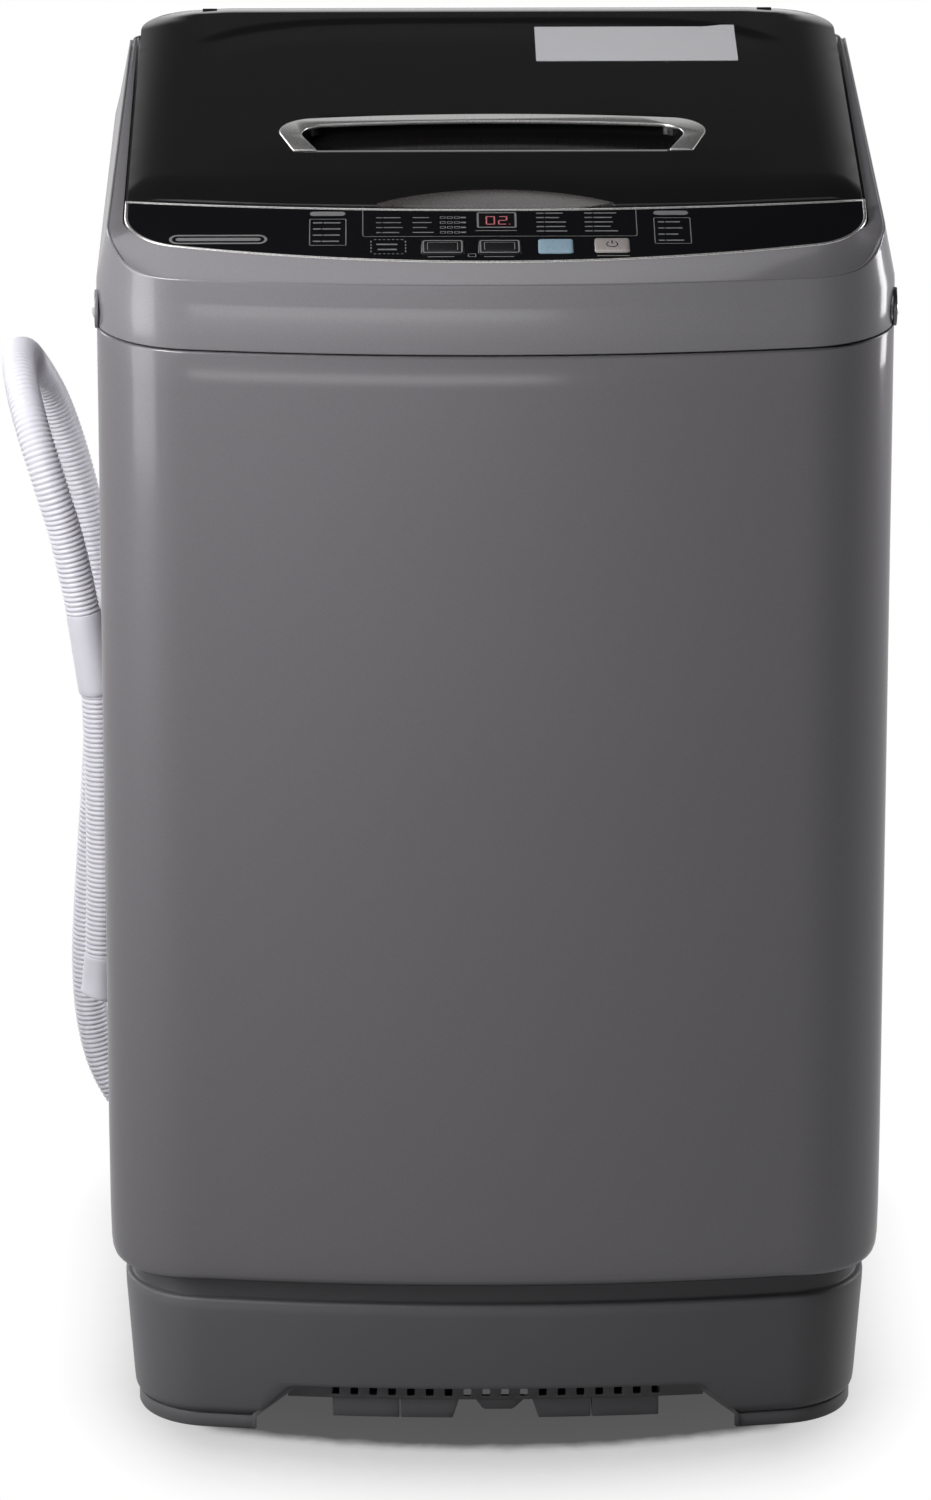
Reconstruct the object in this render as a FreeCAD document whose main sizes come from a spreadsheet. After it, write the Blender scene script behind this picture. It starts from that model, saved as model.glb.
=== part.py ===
"""Compact top-load washing machine, built piece by piece.

Millimetres. +Z up, -Y towards the user, +X to the user's right. The origin is on the floor,
under the middle of the machine. Every driving size is a cell of the sheet "Sizes".
"""
import FreeCAD, Part
import math
import os
import Sketcher

SIZES = {
    # outside form, seen from above
    "body_width": 520,
    "front_reach": 265,
    "back_reach": 250,
    "bow_radius": 1300,
    "front_corner": 70,
    "rear_corner": 12,
    "least_corner": 2,
    # common walls and clearances
    "sheet_steel": 1,
    "plastic_wall": 3,
    "part_gap": 0.3,
    "running_fit": 0.05,
    # cabinet
    "cabinet_bottom": 112,
    "seam_height": 764,
    "cabinet_flange": 16,
    "back_opening_width": 400,
    "back_opening_bottom": 170,
    "back_opening_top": 700,
    "back_overlap": 14,
    "back_rib_width": 300,
    "back_rib_depth": 2,
    # screws
    "screw_head_radius": 5,
    "screw_head_height": 2,
    "screw_shank_radius": 1.9,
    "screw_shank_length": 9,
    "side_screw_height": 774,
    "side_screw_y": -190,
    # base
    "foot_height": 3,
    "base_step": 99,
    "base_inset": 12,
    "band_inset": 15,
    "base_wall": 3.5,
    "base_flange": 26,
    "base_flange_thick": 4,
    "arch_foot_half": 164,
    "arch_top_half": 138,
    "arch_height": 37,
    "arch_depth": 60,
    "foot_side": 55,
    "foot_y": 200,
    "foot_radius": 21,
    "foot_pad_height": 8,
    "stud_radius": 5,
    "stud_top": 62,
    "rear_stud_top": 30,
    "post_radius": 14,
    "post_bottom": 12,
    "gusset_reach": 10,
    # grille behind the arch
    "tray_thick": 2,
    "tray_reach": 110,
    "strip_thick": 3,
    "strip_bottom": 26.5,
    "slot_count": 18,
    "slot_pitch": 12.7,
    "slot_width": 5,
    "slot_height": 4.4,
    "slot_level": 33,
    "block_bottom": 12.5,
    "block_inner": 30,
    "block_outer": 110,
    "block_taper": 9,
    "block_depth": 24,
    "tab_half": 14,
    "tab_bottom": 20,
    # top frame
    "shoulder_height": 810,
    "side_shoulder": 794,
    "rim_side": 8.5,
    "rim_height": 833,
    "rim_rear_side": 18.4,
    "frame_ceiling": 870,
    "cut_overrun": 40,
    "opening_radius": 160,
    "opening_y": 25,
    "skirt_bottom": 730,
    "rim_drop": 7,
    "first_ceiling": 806,
    "second_ceiling": 822,
    "second_ceiling_y": -140,
    "third_ceiling": 834,
    "third_ceiling_y": 30,
    # control panel, in its own sloping plane
    "panel_setback": 24,
    "panel_run": 71,
    "panel_gap": 2,
    "panel_level": 820,
    "panel_slope": 13.5,
    "panel_side": 19,
    "panel_bow": 1000,
    "panel_corner": 42,
    "panel_thick": 2.5,
    "trim_width": 2.2,
    "trim_depth": 3.6,
    "trim_proud": 0.6,
    "key_height": 18.5,
    "key_row": 21.8,
    "key_depth": 9,
    "key_proud": 0.6,
    "key_travel": 1,
    "key_corner": 2,
    "program_key_x": -35.5,
    "level_key_x": 1.5,
    "start_key_x": 38,
    "power_key_x": 75,
    "wide_key": 28.5,
    "narrow_key": 23,
    "window_x": 1.2,
    "window_row": 55.5,
    "window_width": 24,
    "window_height": 17,
    "board_half": 95,
    "board_front": 8,
    "board_rear": 64,
    "board_drop": 12.4,
    "board_thick": 1.6,
    "bay_extra": 18,
    "boss_radius": 3,
    "switch_size": 6,
    # lid, in its own sloping plane
    "lid_rear_gap": 2.16,
    "lid_level": 840.3,
    "lid_slope": 4.26,
    "lid_side": 20,
    "lid_bow": 2400,
    "lid_front_corner": 5,
    "lid_rear_corner": 45,
    "lid_thick": 14,
    "lid_wall": 2.5,
    "lid_gap": 2.5,
    "bevel_width": 20,
    "bevel_drop": 4.5,
    "liner_thick": 1.8,
    "liner_short": 39,
    "notch_half": 78,
    "notch_reach": 27,
    "scoop_depth": 10,
    "pocket_half": 127,
    "pocket_front": 105,
    "pocket_rear": 162.5,
    "pocket_undercut": 12,
    "pocket_depth": 9.5,
    "pocket_ramp": 24,
    "arch_outer_half": 142,
    "arch_outer_rear": 177,
    "arch_band": 14.5,
    "arch_side_band": 16,
    "arch_bow": 900,
    "arch_corner": 26,
    "arch_thick": 1.5,
    "arch_proud": 0.8,
    "pivot_inset": 11,
    "pivot_drop": 9,
    "pin_radius": 2.5,
    "pin_length": 22,
    "lug_side": 72,
    "lug_width": 10,
    "ear_side": 60,
    "ear_width": 10,
    "ear_radius": 4.2,
    "trough_depth": 14,
    "trough_run": 28,
    # tub and its suspension
    "tub_radius": 222,
    "tub_wall": 3,
    "tub_floor": 215,
    "tub_floor_thick": 4,
    "tub_top": 700,
    "tub_lip": 3,
    "hub_bore": 32,
    "cover_radius": 184,
    "cover_thick": 3,
    "cover_rise": 10,
    "rod_offset": 200,
    "rod_radius": 4,
    "rod_bottom": 262,
    "cup_radius": 17,
    "cup_thick": 6,
    "lug_level": 360,
    "lug_thick": 12,
    "lug_half": 13,
    "lug_end_radius": 18,
    "lug_bore": 5.5,
    "spring_radius": 15,
    "spring_wire": 3.5,
    "bracket_level": 735,
    "bracket_thick": 3,
    "bracket_inner": 178,
    "seat_radius": 14,
    "seat_height": 7,
    "ball_radius": 9,
    # drum and its drive
    "drum_radius": 206,
    "drum_wall": 1,
    "drum_bottom": 240,
    "drum_top": 655,
    "ring_height": 35,
    "ring_inner": 178,
    "flange_radius": 110,
    "flange_thick": 8,
    "flange_hub": 30,
    "flange_bottom": 222,
    "tube_radius": 14,
    "tube_bottom": 124,
    "shaft_radius": 8,
    "shaft_bottom": 130,
    "shaft_top": 284,
    "pulsator_radius": 160,
    "pulsator_bottom": 248,
    "pulsator_edge": 6,
    "pulsator_dome": 34,
    "pulsator_wall": 4,
    "pulsator_hub": 20,
    "vane_count": 6,
    "hub_cone": 30,
    "vane_inner": 38,
    "vane_outer": 150,
    "vane_width": 9,
    "vane_height": 26,
    "cap_radius": 11,
    "cap_height": 4,
    "cap_screw_radius": 3,
    "cap_screw_length": 16,
    "filter_half": 32,
    "filter_depth": 14,
    "filter_bottom": 330,
    "filter_top": 480,
    "plate_level": 196,
    "plate_thick": 2,
    "plate_half": 110,
    "plate_front": 90,
    "plate_rear": 212,
    "spacer_radius": 9,
    "spacer_x": 90,
    "spacer_front": 70,
    "spacer_rear": 170,
    "housing_radius": 55,
    "housing_bottom": 120,
    "housing_flange": 68,
    "housing_flange_thick": 6,
    "housing_neck_top": 213,
    "bearing_radius": 26,
    "bearing_height": 12,
    "seal_height": 7,
    "pulley_radius": 75,
    "pulley_level": 97,
    "pulley_width": 14,
    "stub_radius": 10,
    "belt_thick": 5,
    "belt_width": 10,
    "motor_y": 150,
    "motor_radius": 58,
    "motor_bottom": 122,
    "motor_pulley_radius": 28,
    "motor_shaft_radius": 6,
    "motor_shaft_top": 186,
    "capacitor_radius": 22,
    "capacitor_height": 60,
    "capacitor_rise": 61,
    # water in
    "inlet_x": 150,
    "inlet_level": 792,
    "inlet_reach": 265,
    "inlet_thread": 13.2,
    "inlet_bore": 8,
    "inlet_flange": 17,
    "inlet_flange_thick": 2,
    "valve_width": 40,
    "valve_depth": 20,
    "valve_height": 27,
    "duct_front": 128,
    "nozzle_reach": 80,
    "nozzle_radius": 9,
    "nozzle_drop": 2,
    # water out
    "drain_x": -130,
    "drain_y": 100,
    "drain_axis": 185,
    "sump_radius": 22,
    "valve_radius": 20,
    "valve_bore": 15,
    "valve_left": -152,
    "valve_right": -112,
    "stem_radius": 4,
    "stem_disc_radius": 14,
    "stem_travel": 8,
    "actuator_left": -90,
    "actuator_right": -50,
    "actuator_half": 15,
    "actuator_height": 28,
    "pipe_radius": 13,
    "pipe_bore": 10.5,
    "bellows_top": 150,
    "bellows_bottom": 112,
    "drain_level": 50,
    "drain_reach": 262,
    "overflow_radius": 8,
    "overflow_level": 650,
    # hoses
    "hose_radius": 12,
    "elbow_radius": 14.5,
    "elbow_run": 15,
    "elbow_length": 34,
    "extension_radius": 11.2,
    "cuff_radius": 13.6,
    "mouth_radius": 13,
    "clip_level": 430,
    "clip_height": 12,
    "clip_wall": 2.5,
    "clip_gap": 0.8,
    # small things
    "gland_side": 55,
    "gland_level": 138,
    "gland_radius": 9,
    "gland_reach": 262,
    "gland_bore": 4,
    "sensor_level": 690,
    "sensor_size": 26,
}

# The drain hose hangs free: its route is chosen by hand, from the elbow behind the base, down to
# the floor, up past the rear left corner, through the clip, over the loop and down to the cuff.
HOSE_ROUTE = [
    (-159.6, 277, 32.9), (-190.6, 277, 15), (-223, 277, 13.2), (-255.5, 277, 27.5), (-277.5, 277, 61),
    (-287.5, 276.5, 100), (-290.5, 276, 146), (-288, 276, 192), (-284.5, 276, 240), (-280.5, 276, 292),
    (-277.5, 276, 348), (-276.5, 276, 404), (-279, 276, 458), (-288.5, 276, 512),
    (-305, 276, 571), (-320.5, 254.3, 608), (-328, 216.7, 630), (-328, 173.3, 630),
    (-320.5, 135.7, 608), (-306, 114, 566), (-291, 114, 515), (-282, 114, 462),
]
EXTENSION_ROUTE = [
    (-274.5, 114, 411), (-273, 114, 362), (-272.4, 114, 306), (-273, 114, 256), (-275, 114, 212),
]
MOUTH_END = (-277, 114, 184)

doc = FreeCAD.newDocument("top_load_washer")
sheet = doc.addObject("Spreadsheet::Sheet", "Sizes")


class Size:
    """A number together with the sheet expression that makes it."""

    def __init__(self, value, text):
        self.value = value
        self.text = text

    def __add__(self, other):
        other = as_size(other)
        return Size(self.value + other.value, f"({self.text} + {other.text})")

    def __sub__(self, other):
        other = as_size(other)
        return Size(self.value - other.value, f"({self.text} - {other.text})")

    def __mul__(self, other):
        other = as_size(other)
        return Size(self.value * other.value, f"({self.text} * {other.text})")

    def __truediv__(self, other):
        other = as_size(other)
        return Size(self.value / other.value, f"({self.text} / {other.text})")

    def __neg__(self):
        return Size(-self.value, f"(0 - {self.text})")

    def __radd__(self, other):
        return as_size(other) + self

    def __rsub__(self, other):
        return as_size(other) - self

    def __rmul__(self, other):
        return as_size(other) * self


def as_size(number):
    if isinstance(number, Size):
        return number
    return Size(float(number), f"({float(number)})")


def larger(first, second):
    first = as_size(first)
    second = as_size(second)
    return Size(max(first.value, second.value), f"max({first.text}; {second.text})")


def root(size):
    return Size(math.sqrt(size.value), f"sqrt({size.text})")


def sine(size):
    return Size(math.sin(math.radians(size.value)), f"sin({size.text})")


def cosine(size):
    return Size(math.cos(math.radians(size.value)), f"cos({size.text})")


def tangent(size):
    return Size(math.tan(math.radians(size.value)), f"tan({size.text})")


# Sizes that follow from others: each piece keeps its clearance when the outside form changes.
FOLLOWING = {
    "foot_x": lambda: s.body_width / 2 - s.foot_side,
    "rim_half": lambda: s.body_width / 2 - s.rim_side,
    "rim_rear_half": lambda: s.body_width / 2 - s.rim_rear_side,
    "panel_half": lambda: s.body_width / 2 - s.panel_side,
    "panel_reach": lambda: s.front_reach - s.panel_setback,
    "panel_length": lambda: (s.panel_run - s.panel_gap) / cosine(s.panel_slope),
    "lid_half": lambda: s.body_width / 2 - s.lid_side,
    "lid_reach": lambda: s.panel_reach - s.panel_run,
    "lid_length": lambda: (s.lid_reach + s.back_reach - s.lid_rear_gap) / cosine(s.lid_slope),
    "liner_length": lambda: s.lid_length - s.liner_short,
    "pivot_back": lambda: s.lid_length - s.pivot_inset,
    "lug_x": lambda: s.body_width / 2 - s.lug_side,
    "ear_x": lambda: s.body_width / 2 - s.ear_side,
    "trough_front": lambda: s.back_reach - s.trough_run,
    "elbow_reach": lambda: s.drain_reach + s.elbow_run,
    "gland_x": lambda: s.body_width / 2 - s.gland_side,
}


class Sheet:
    """Gives each cell, or a size that follows from cells, as a Size by its name."""

    def __getattr__(self, alias):
        if alias in FOLLOWING:
            return FOLLOWING[alias]()
        return Size(float(sheet.get(alias)), f"Sizes.{alias}")


def fill_sheet():
    for row, (alias, number) in enumerate(SIZES.items(), start=1):
        sheet.set(f"A{row}", alias)
        sheet.set(f"B{row}", str(number))
        sheet.setAlias(f"B{row}", alias)
    doc.recompute()


fill_sheet()
s = Sheet()
PIECES = []


# ---------------------------------------------------------------- document helpers

def bind(item, prop, size):
    """Tie a property to the sheet."""
    item.setExpression(prop, as_size(size).text)


def place(item, x=0, y=0, z=0):
    for axis, size in (("x", x), ("y", y), ("z", z)):
        bind(item, f"Placement.Base.{axis}", size)
    return item


def tilt(item, angle, axis=(1, 0, 0)):
    """Turn an object about an axis through its base point."""
    item.Placement = FreeCAD.Placement(item.Placement.Base, FreeCAD.Rotation(FreeCAD.Vector(*axis), 1))
    bind(item, "Placement.Rotation.Angle", angle)
    return item


def turn(item, angle, axis):
    """Give an object a fixed turn about its base point, such as a cylinder laid along X or Y."""
    item.Placement = FreeCAD.Placement(item.Placement.Base, FreeCAD.Rotation(FreeCAD.Vector(*axis), angle))
    return item


def piece(item, name):
    """Name a finished sub-part, so that it is exported."""
    item.Label = name
    PIECES.append(item)
    return item


def new_body(name):
    return doc.addObject("PartDesign::Body", name)


def origin_plane(body, role):
    return [item for item in body.Origin.OriginFeatures if item.Role == role][0]


def arc_centre(start, end, radius, major):
    """Centre of the arc from start to end: a positive radius turns anticlockwise."""
    dx = end[0] - start[0]
    dy = end[1] - start[1]
    chord = math.hypot(dx, dy)
    reach = math.sqrt(max(radius * radius - chord * chord / 4, 0))
    side = 1 if radius > 0 else -1
    if major:
        side = -side
    return ((start[0] + end[0]) / 2 - side * reach * dy / chord,
            (start[1] + end[1]) / 2 + side * reach * dx / chord)


def add_segment(sketch, start, end, radius, major):
    """Add a line or an arc. Returns its number and which of its ends is the start."""
    if radius is None:
        line = Part.LineSegment(FreeCAD.Vector(*start, 0), FreeCAD.Vector(*end, 0))
        return sketch.addGeometry(line), 1, 2
    centre = arc_centre(start, end, radius.value, major)
    first = math.atan2(start[1] - centre[1], start[0] - centre[0])
    last = math.atan2(end[1] - centre[1], end[0] - centre[0])
    circle = Part.Circle(FreeCAD.Vector(*centre, 0), FreeCAD.Vector(0, 0, 1), abs(radius.value))
    if radius.value > 0:
        return sketch.addGeometry(Part.ArcOfCircle(circle, first, last)), 1, 2
    return sketch.addGeometry(Part.ArcOfCircle(circle, last, first)), 2, 1


def constrain(sketch, kind, *values, size=None):
    number = sketch.addConstraint(Sketcher.Constraint(kind, *values))
    if size is not None:
        sketch.setExpression(f"Constraints[{number}]", size.text)


def add_loop(sketch, loop):
    """A closed loop of (x, y), or (x, y, radius of the arc that leads there, major or not)."""
    corners = [(as_size(entry[0]), as_size(entry[1])) for entry in loop]
    values = [(x.value, y.value) for x, y in corners]
    segments = []
    for number, start in enumerate(values):
        entry = loop[(number + 1) % len(loop)]
        radius = as_size(entry[2]) if len(entry) > 2 else None
        end = values[(number + 1) % len(loop)]
        segments.append(add_segment(sketch, start, end, radius, len(entry) > 3) + (radius,))
    for number, (geometry, first, last, radius) in enumerate(segments):
        following = segments[(number + 1) % len(segments)]
        constrain(sketch, "Coincident", geometry, last, following[0], following[1])
        x, y = corners[number]
        constrain(sketch, "DistanceX", -1, 1, geometry, first, x.value, size=x)
        constrain(sketch, "DistanceY", -1, 1, geometry, first, y.value, size=y)
        if radius is not None:
            length = radius if radius.value > 0 else -radius
            constrain(sketch, "Radius", geometry, length.value, size=length)


def add_circle(sketch, x, y, radius):
    x, y, radius = as_size(x), as_size(y), as_size(radius)
    centre = FreeCAD.Vector(x.value, y.value, 0)
    geometry = sketch.addGeometry(Part.Circle(centre, FreeCAD.Vector(0, 0, 1), radius.value))
    constrain(sketch, "DistanceX", -1, 1, geometry, 3, x.value, size=x)
    constrain(sketch, "DistanceY", -1, 1, geometry, 3, y.value, size=y)
    constrain(sketch, "Radius", geometry, radius.value, size=radius)


class Circle:
    def __init__(self, x, y, radius):
        self.values = (x, y, radius)


def draw(body, loops, lift=0, role="XY_Plane", angle=None):
    """A sketch of loops and circles on one of the body's own planes, lifted along its normal."""
    sketch = body.newObject("Sketcher::SketchObject", "Sketch")
    sketch.AttachmentSupport = [(origin_plane(body, role), "")]
    sketch.MapMode = "FlatFace"
    if angle is not None:
        sketch.AttachmentOffset = FreeCAD.Placement(
            FreeCAD.Vector(), FreeCAD.Rotation(FreeCAD.Vector(0, 0, 1), angle))
    bind(sketch, "AttachmentOffset.Base.z", lift)
    for loop in loops:
        if isinstance(loop, Circle):
            add_circle(sketch, *loop.values)
        else:
            add_loop(sketch, loop)
    return sketch


def pad(body, loops, start, length, role="XY_Plane", angle=None):
    """Add material from the level start, along the plane's normal."""
    feature = body.newObject("PartDesign::Pad", "Pad")
    feature.Profile = draw(body, loops, start, role, angle)
    bind(feature, "Length", length)
    return feature


def pocket(body, loops, start, depth, role="XY_Plane"):
    """Cut from the level start, against the plane's normal."""
    feature = body.newObject("PartDesign::Pocket", "Pocket")
    feature.Profile = draw(body, loops, start, role)
    bind(feature, "Length", depth)
    return feature


def around(body, feature, count, axis_sketch):
    """Repeat a feature evenly around Z."""
    pattern = body.newObject("PartDesign::PolarPattern", "Pattern")
    pattern.Originals = [feature]
    pattern.Axis = (axis_sketch, ["N_Axis"])
    pattern.Angle = 360
    bind(pattern, "Occurrences", count)
    body.Tip = pattern
    return pattern


def revolve(body, loops):
    """Turn (radius, height) loops about the body's Z axis."""
    feature = body.newObject("PartDesign::Revolution", "Revolution")
    feature.Profile = draw(body, loops, 0, "XZ_Plane")
    feature.ReferenceAxis = (feature.Profile[0], ["V_Axis"])
    feature.Angle = 360
    return feature


def ring(name, inner, outer, bottom, top, x=0, y=0):
    """A turned ring, as its own body."""
    body = new_body(name)
    revolve(body, [rectangle(inner, bottom, outer, top)])
    return place(body, x, y, 0)


def cylinder(radius, length, x=0, y=0, z=0, along="z"):
    item = doc.addObject("Part::Cylinder", "Cylinder")
    bind(item, "Radius", radius)
    bind(item, "Height", length)
    if along == "x":
        turn(item, 90, (0, 1, 0))
    if along == "y":
        turn(item, -90, (1, 0, 0))
    return place(item, x, y, z)


def block(x, y, z):
    """A box between pairs of limits."""
    item = doc.addObject("Part::Box", "Box")
    for prop, (low, high) in (("Length", x), ("Width", y), ("Height", z)):
        bind(item, prop, as_size(high) - low)
    return place(item, x[0], y[0], z[0])


def fuse(items, name="Fusion"):
    item = doc.addObject("Part::MultiFuse", name)
    item.Shapes = items
    return item


def subtract(base, tools, name="Cut"):
    item = doc.addObject("Part::Cut", name)
    item.Base = base
    item.Tool = tools[0] if len(tools) == 1 else fuse(tools)
    return item


def common(items, name="Common"):
    item = doc.addObject("Part::MultiCommon", name)
    item.Shapes = items
    return item


def group(items, name="Group"):
    """Separate solids in one node."""
    item = doc.addObject("Part::Compound", name)
    item.Links = items
    return item


# ---------------------------------------------------------------- outlines

def rectangle(left, bottom, right, top):
    return [(left, bottom), (right, bottom), (right, top), (left, top)]


def bowed(half, reach, back, bow, corner, rear_corner):
    """The machine's plan: straight sides, a bowed front and rounded corners."""
    bow_y = bow - reach
    corner_x = half - corner
    corner_y = bow_y - root((bow - corner) * (bow - corner) - corner_x * corner_x)
    stretch = bow / (bow - corner)
    meet_x = corner_x * stretch
    meet_y = bow_y + (corner_y - bow_y) * stretch
    return [
        (half, corner_y, corner), (half, back - rear_corner),
        (half - rear_corner, back, rear_corner), (rear_corner - half, back),
        (-half, back - rear_corner, rear_corner), (-half, corner_y),
        (-meet_x, meet_y, corner), (meet_x, meet_y, bow)]


def plan(inset):
    """The body's outline, moved inwards."""
    inset = as_size(inset)
    return bowed(s.body_width / 2 - inset, s.front_reach - inset, s.back_reach - inset,
                 s.bow_radius - inset, s.front_corner - inset,
                 larger(s.rear_corner - inset, s.least_corner))


def panel_plan(inset):
    """The control panel in its own plane: a bowed front and a rear edge that follows the lid."""
    inset = as_size(inset)
    half = s.panel_half - inset
    bow = s.panel_bow - inset
    corner = s.panel_corner - inset
    bow_y = bow + inset
    corner_x = half - corner
    corner_y = bow_y - root((bow - corner) * (bow - corner) - corner_x * corner_x)
    stretch = bow / (bow - corner)
    meet_x = corner_x * stretch
    meet_y = bow_y + (corner_y - bow_y) * stretch
    rear = s.panel_length - inset
    rear_bow = s.lid_bow + inset
    rear_side = rear + rear_bow - root(rear_bow * rear_bow - half * half)
    return [
        (half, corner_y, corner), (half, rear_side), (-half, rear_side, -rear_bow),
        (-half, corner_y), (-meet_x, meet_y, corner), (meet_x, meet_y, bow)]


def lid_plan(inset, length):
    """The lid in its own plane."""
    inset = as_size(inset)
    half = s.lid_half - inset
    bow = s.lid_bow - inset
    corner = s.lid_front_corner
    rear = s.lid_rear_corner - inset
    bow_y = bow + inset
    corner_x = half - corner
    corner_y = bow_y - root((bow - corner) * (bow - corner) - corner_x * corner_x)
    stretch = bow / (bow - corner)
    meet_x = corner_x * stretch
    meet_y = bow_y + (corner_y - bow_y) * stretch
    back = length - inset
    return [
        (half, corner_y, corner), (half, back - rear), (half - rear, back, rear),
        (rear - half, back), (-half, back - rear, rear), (-half, corner_y),
        (-meet_x, meet_y, corner), (meet_x, meet_y, bow)]


def notch_plan(margin, start=-4):
    """The finger notch in the lid's front edge, widened by a margin."""
    margin = as_size(margin)
    half = s.notch_half
    reach = s.notch_reach
    radius = (half * half + reach * reach) / (reach * 2) + margin
    centre_y = reach + margin - radius
    side = root(radius * radius - (start - centre_y) * (start - centre_y))
    return [(-side, start, radius), (side, start)]


def lid_height(y):
    """Height of the lid's top plane at a place along Y."""
    return s.lid_level + (as_size(y) + s.lid_reach) * tangent(s.lid_slope)


def pivot_y():
    return s.pivot_back * cosine(s.lid_slope) + s.pivot_drop * sine(s.lid_slope) - s.lid_reach


def pivot_z():
    return s.lid_level + s.pivot_back * sine(s.lid_slope) - s.pivot_drop * cosine(s.lid_slope)


def on_panel(item):
    """Lay an object in the control panel's plane."""
    return tilt(place(item, 0, -s.panel_reach, s.panel_level), s.panel_slope)


def on_lid(item):
    """Lay an object in the lid's plane."""
    return tilt(place(item, 0, -s.lid_reach, s.lid_level), s.lid_slope)


CORNERS = [(1, 1), (-1, 1), (-1, -1), (1, -1)]


# ---------------------------------------------------------------- cabinet and back

def make_cabinet_shell():
    """Painted sheet steel wrap with a turned-in flange at the bottom."""
    body = new_body("cabinet_shell")
    height = s.seam_height - s.cabinet_bottom
    pad(body, [plan(0)], s.cabinet_bottom, height)
    pocket(body, [plan(s.sheet_steel)], s.seam_height, height - s.sheet_steel)
    pocket(body, [plan(s.cabinet_flange)], s.seam_height, height)
    half = s.back_opening_width / 2
    opening = rectangle(-half, s.back_opening_bottom, half, s.back_opening_top)
    holes = [Circle(x, z, s.screw_shank_radius) for x, z in back_screw_places()]
    lead_hole = Circle(s.gland_x, s.gland_level, s.gland_bore)
    inside = s.back_reach - s.rear_corner
    pocket(body, [opening, *holes, lead_hole], -inside, s.rear_corner, role="XZ_Plane")
    return piece(body, "cabinet_shell")


def make_back_panel():
    """Screwed steel cover with one pressed panel."""
    body = new_body("back_panel")
    half = s.back_opening_width / 2 + s.back_overlap
    bottom = s.back_opening_bottom - s.back_overlap
    top = s.back_opening_top + s.back_overlap
    outline = rectangle(-half, bottom, half, top)
    outside = s.back_reach + s.sheet_steel
    pad(body, [outline], -outside, s.sheet_steel, role="XZ_Plane")
    rib = s.back_rib_width / 2
    margin = s.back_overlap * 4
    pressed = rectangle(-rib, bottom + margin, rib, top - margin)
    pad(body, [pressed], -(outside + s.back_rib_depth), s.back_rib_depth, role="XZ_Plane")
    hollow = rectangle(s.sheet_steel - rib, bottom + margin + s.sheet_steel,
                       rib - s.sheet_steel, top - margin - s.sheet_steel)
    pocket(body, [hollow], -s.back_reach, s.back_rib_depth, role="XZ_Plane")
    holes = [Circle(x, z, s.screw_shank_radius) for x, z in back_screw_places()]
    pocket(body, holes, -s.back_reach, s.sheet_steel, role="XZ_Plane")
    return piece(body, "back_panel")


def back_screw_places():
    """Middle of each screw around the rear cover, as x and height."""
    side = s.back_opening_width / 2 + s.back_overlap / 2
    bottom = s.back_opening_bottom - s.back_overlap / 2
    top = s.back_opening_top + s.back_overlap / 2
    middle = (s.back_opening_bottom + s.back_opening_top) / 2
    return [(x, z) for x in (-side, as_size(0), side) for z in (bottom, top)] + [
        (-side, middle), (side, middle)]


def make_case_screws():
    """Eight screws in the rear cover and one in each side of the top frame."""
    screws = []
    face = s.back_reach + s.sheet_steel
    for x, z in back_screw_places():
        head = cylinder(s.screw_head_radius, s.screw_head_height, x, face, z, "y")
        shank = cylinder(s.screw_shank_radius, s.screw_shank_length, x, face - s.screw_shank_length, z, "y")
        screws.append(fuse([head, shank]))
    side = s.body_width / 2
    sink = s.screw_head_height / 2
    length = s.screw_shank_length
    for sign in (-1, 1):
        start = side - sink if sign > 0 else -side - sink
        head = cylinder(s.screw_head_radius, s.screw_head_height, start, s.side_screw_y,
                        s.side_screw_height, "x")
        start = side - sink - length if sign > 0 else sink - side
        shank = cylinder(s.screw_shank_radius, length, start, s.side_screw_y, s.side_screw_height, "x")
        screws.append(fuse([head, shank]))
    return piece(group(screws), "case_screws")


# ---------------------------------------------------------------- base

def foot_circles(radius, rows=(1, -1)):
    return [Circle(x * s.foot_x, y * s.foot_y, radius) for x in (1, -1) for y in rows]


def make_base_plinth():
    """Moulded base: a lower wall, a set-back band, a carrying flange, four posts and an arch."""
    body = new_body("base_plinth")
    top = s.cabinet_bottom
    pad(body, [plan(s.base_inset)], s.foot_height, s.base_step - s.foot_height)
    pad(body, [plan(s.band_inset)], s.base_step, top - s.base_step)
    inner = s.band_inset + s.base_wall
    pocket(body, [plan(inner)], top - s.base_flange_thick, top)
    pocket(body, [plan(inner + s.base_flange)], top, top)
    post_top = top - s.base_flange_thick
    pad(body, foot_circles(s.post_radius), s.post_bottom, post_top - s.post_bottom)
    pad(body, foot_circles(s.post_radius + s.gusset_reach), post_top, s.base_flange_thick)
    pocket(body, foot_circles(s.stud_radius + s.running_fit), post_top, post_top)
    arch = [(-s.arch_foot_half, 0), (s.arch_foot_half, 0), (s.arch_top_half, s.arch_height),
            (-s.arch_top_half, s.arch_height)]
    pocket(body, [arch], s.front_reach, s.arch_depth, role="XZ_Plane")
    pocket(body, [Circle(s.drain_x, s.drain_level, s.pipe_radius + s.part_gap)],
           -(s.back_reach - s.rear_corner - s.base_inset), s.rear_corner + s.base_inset, role="XZ_Plane")
    return piece(body, "base_plinth")


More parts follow.
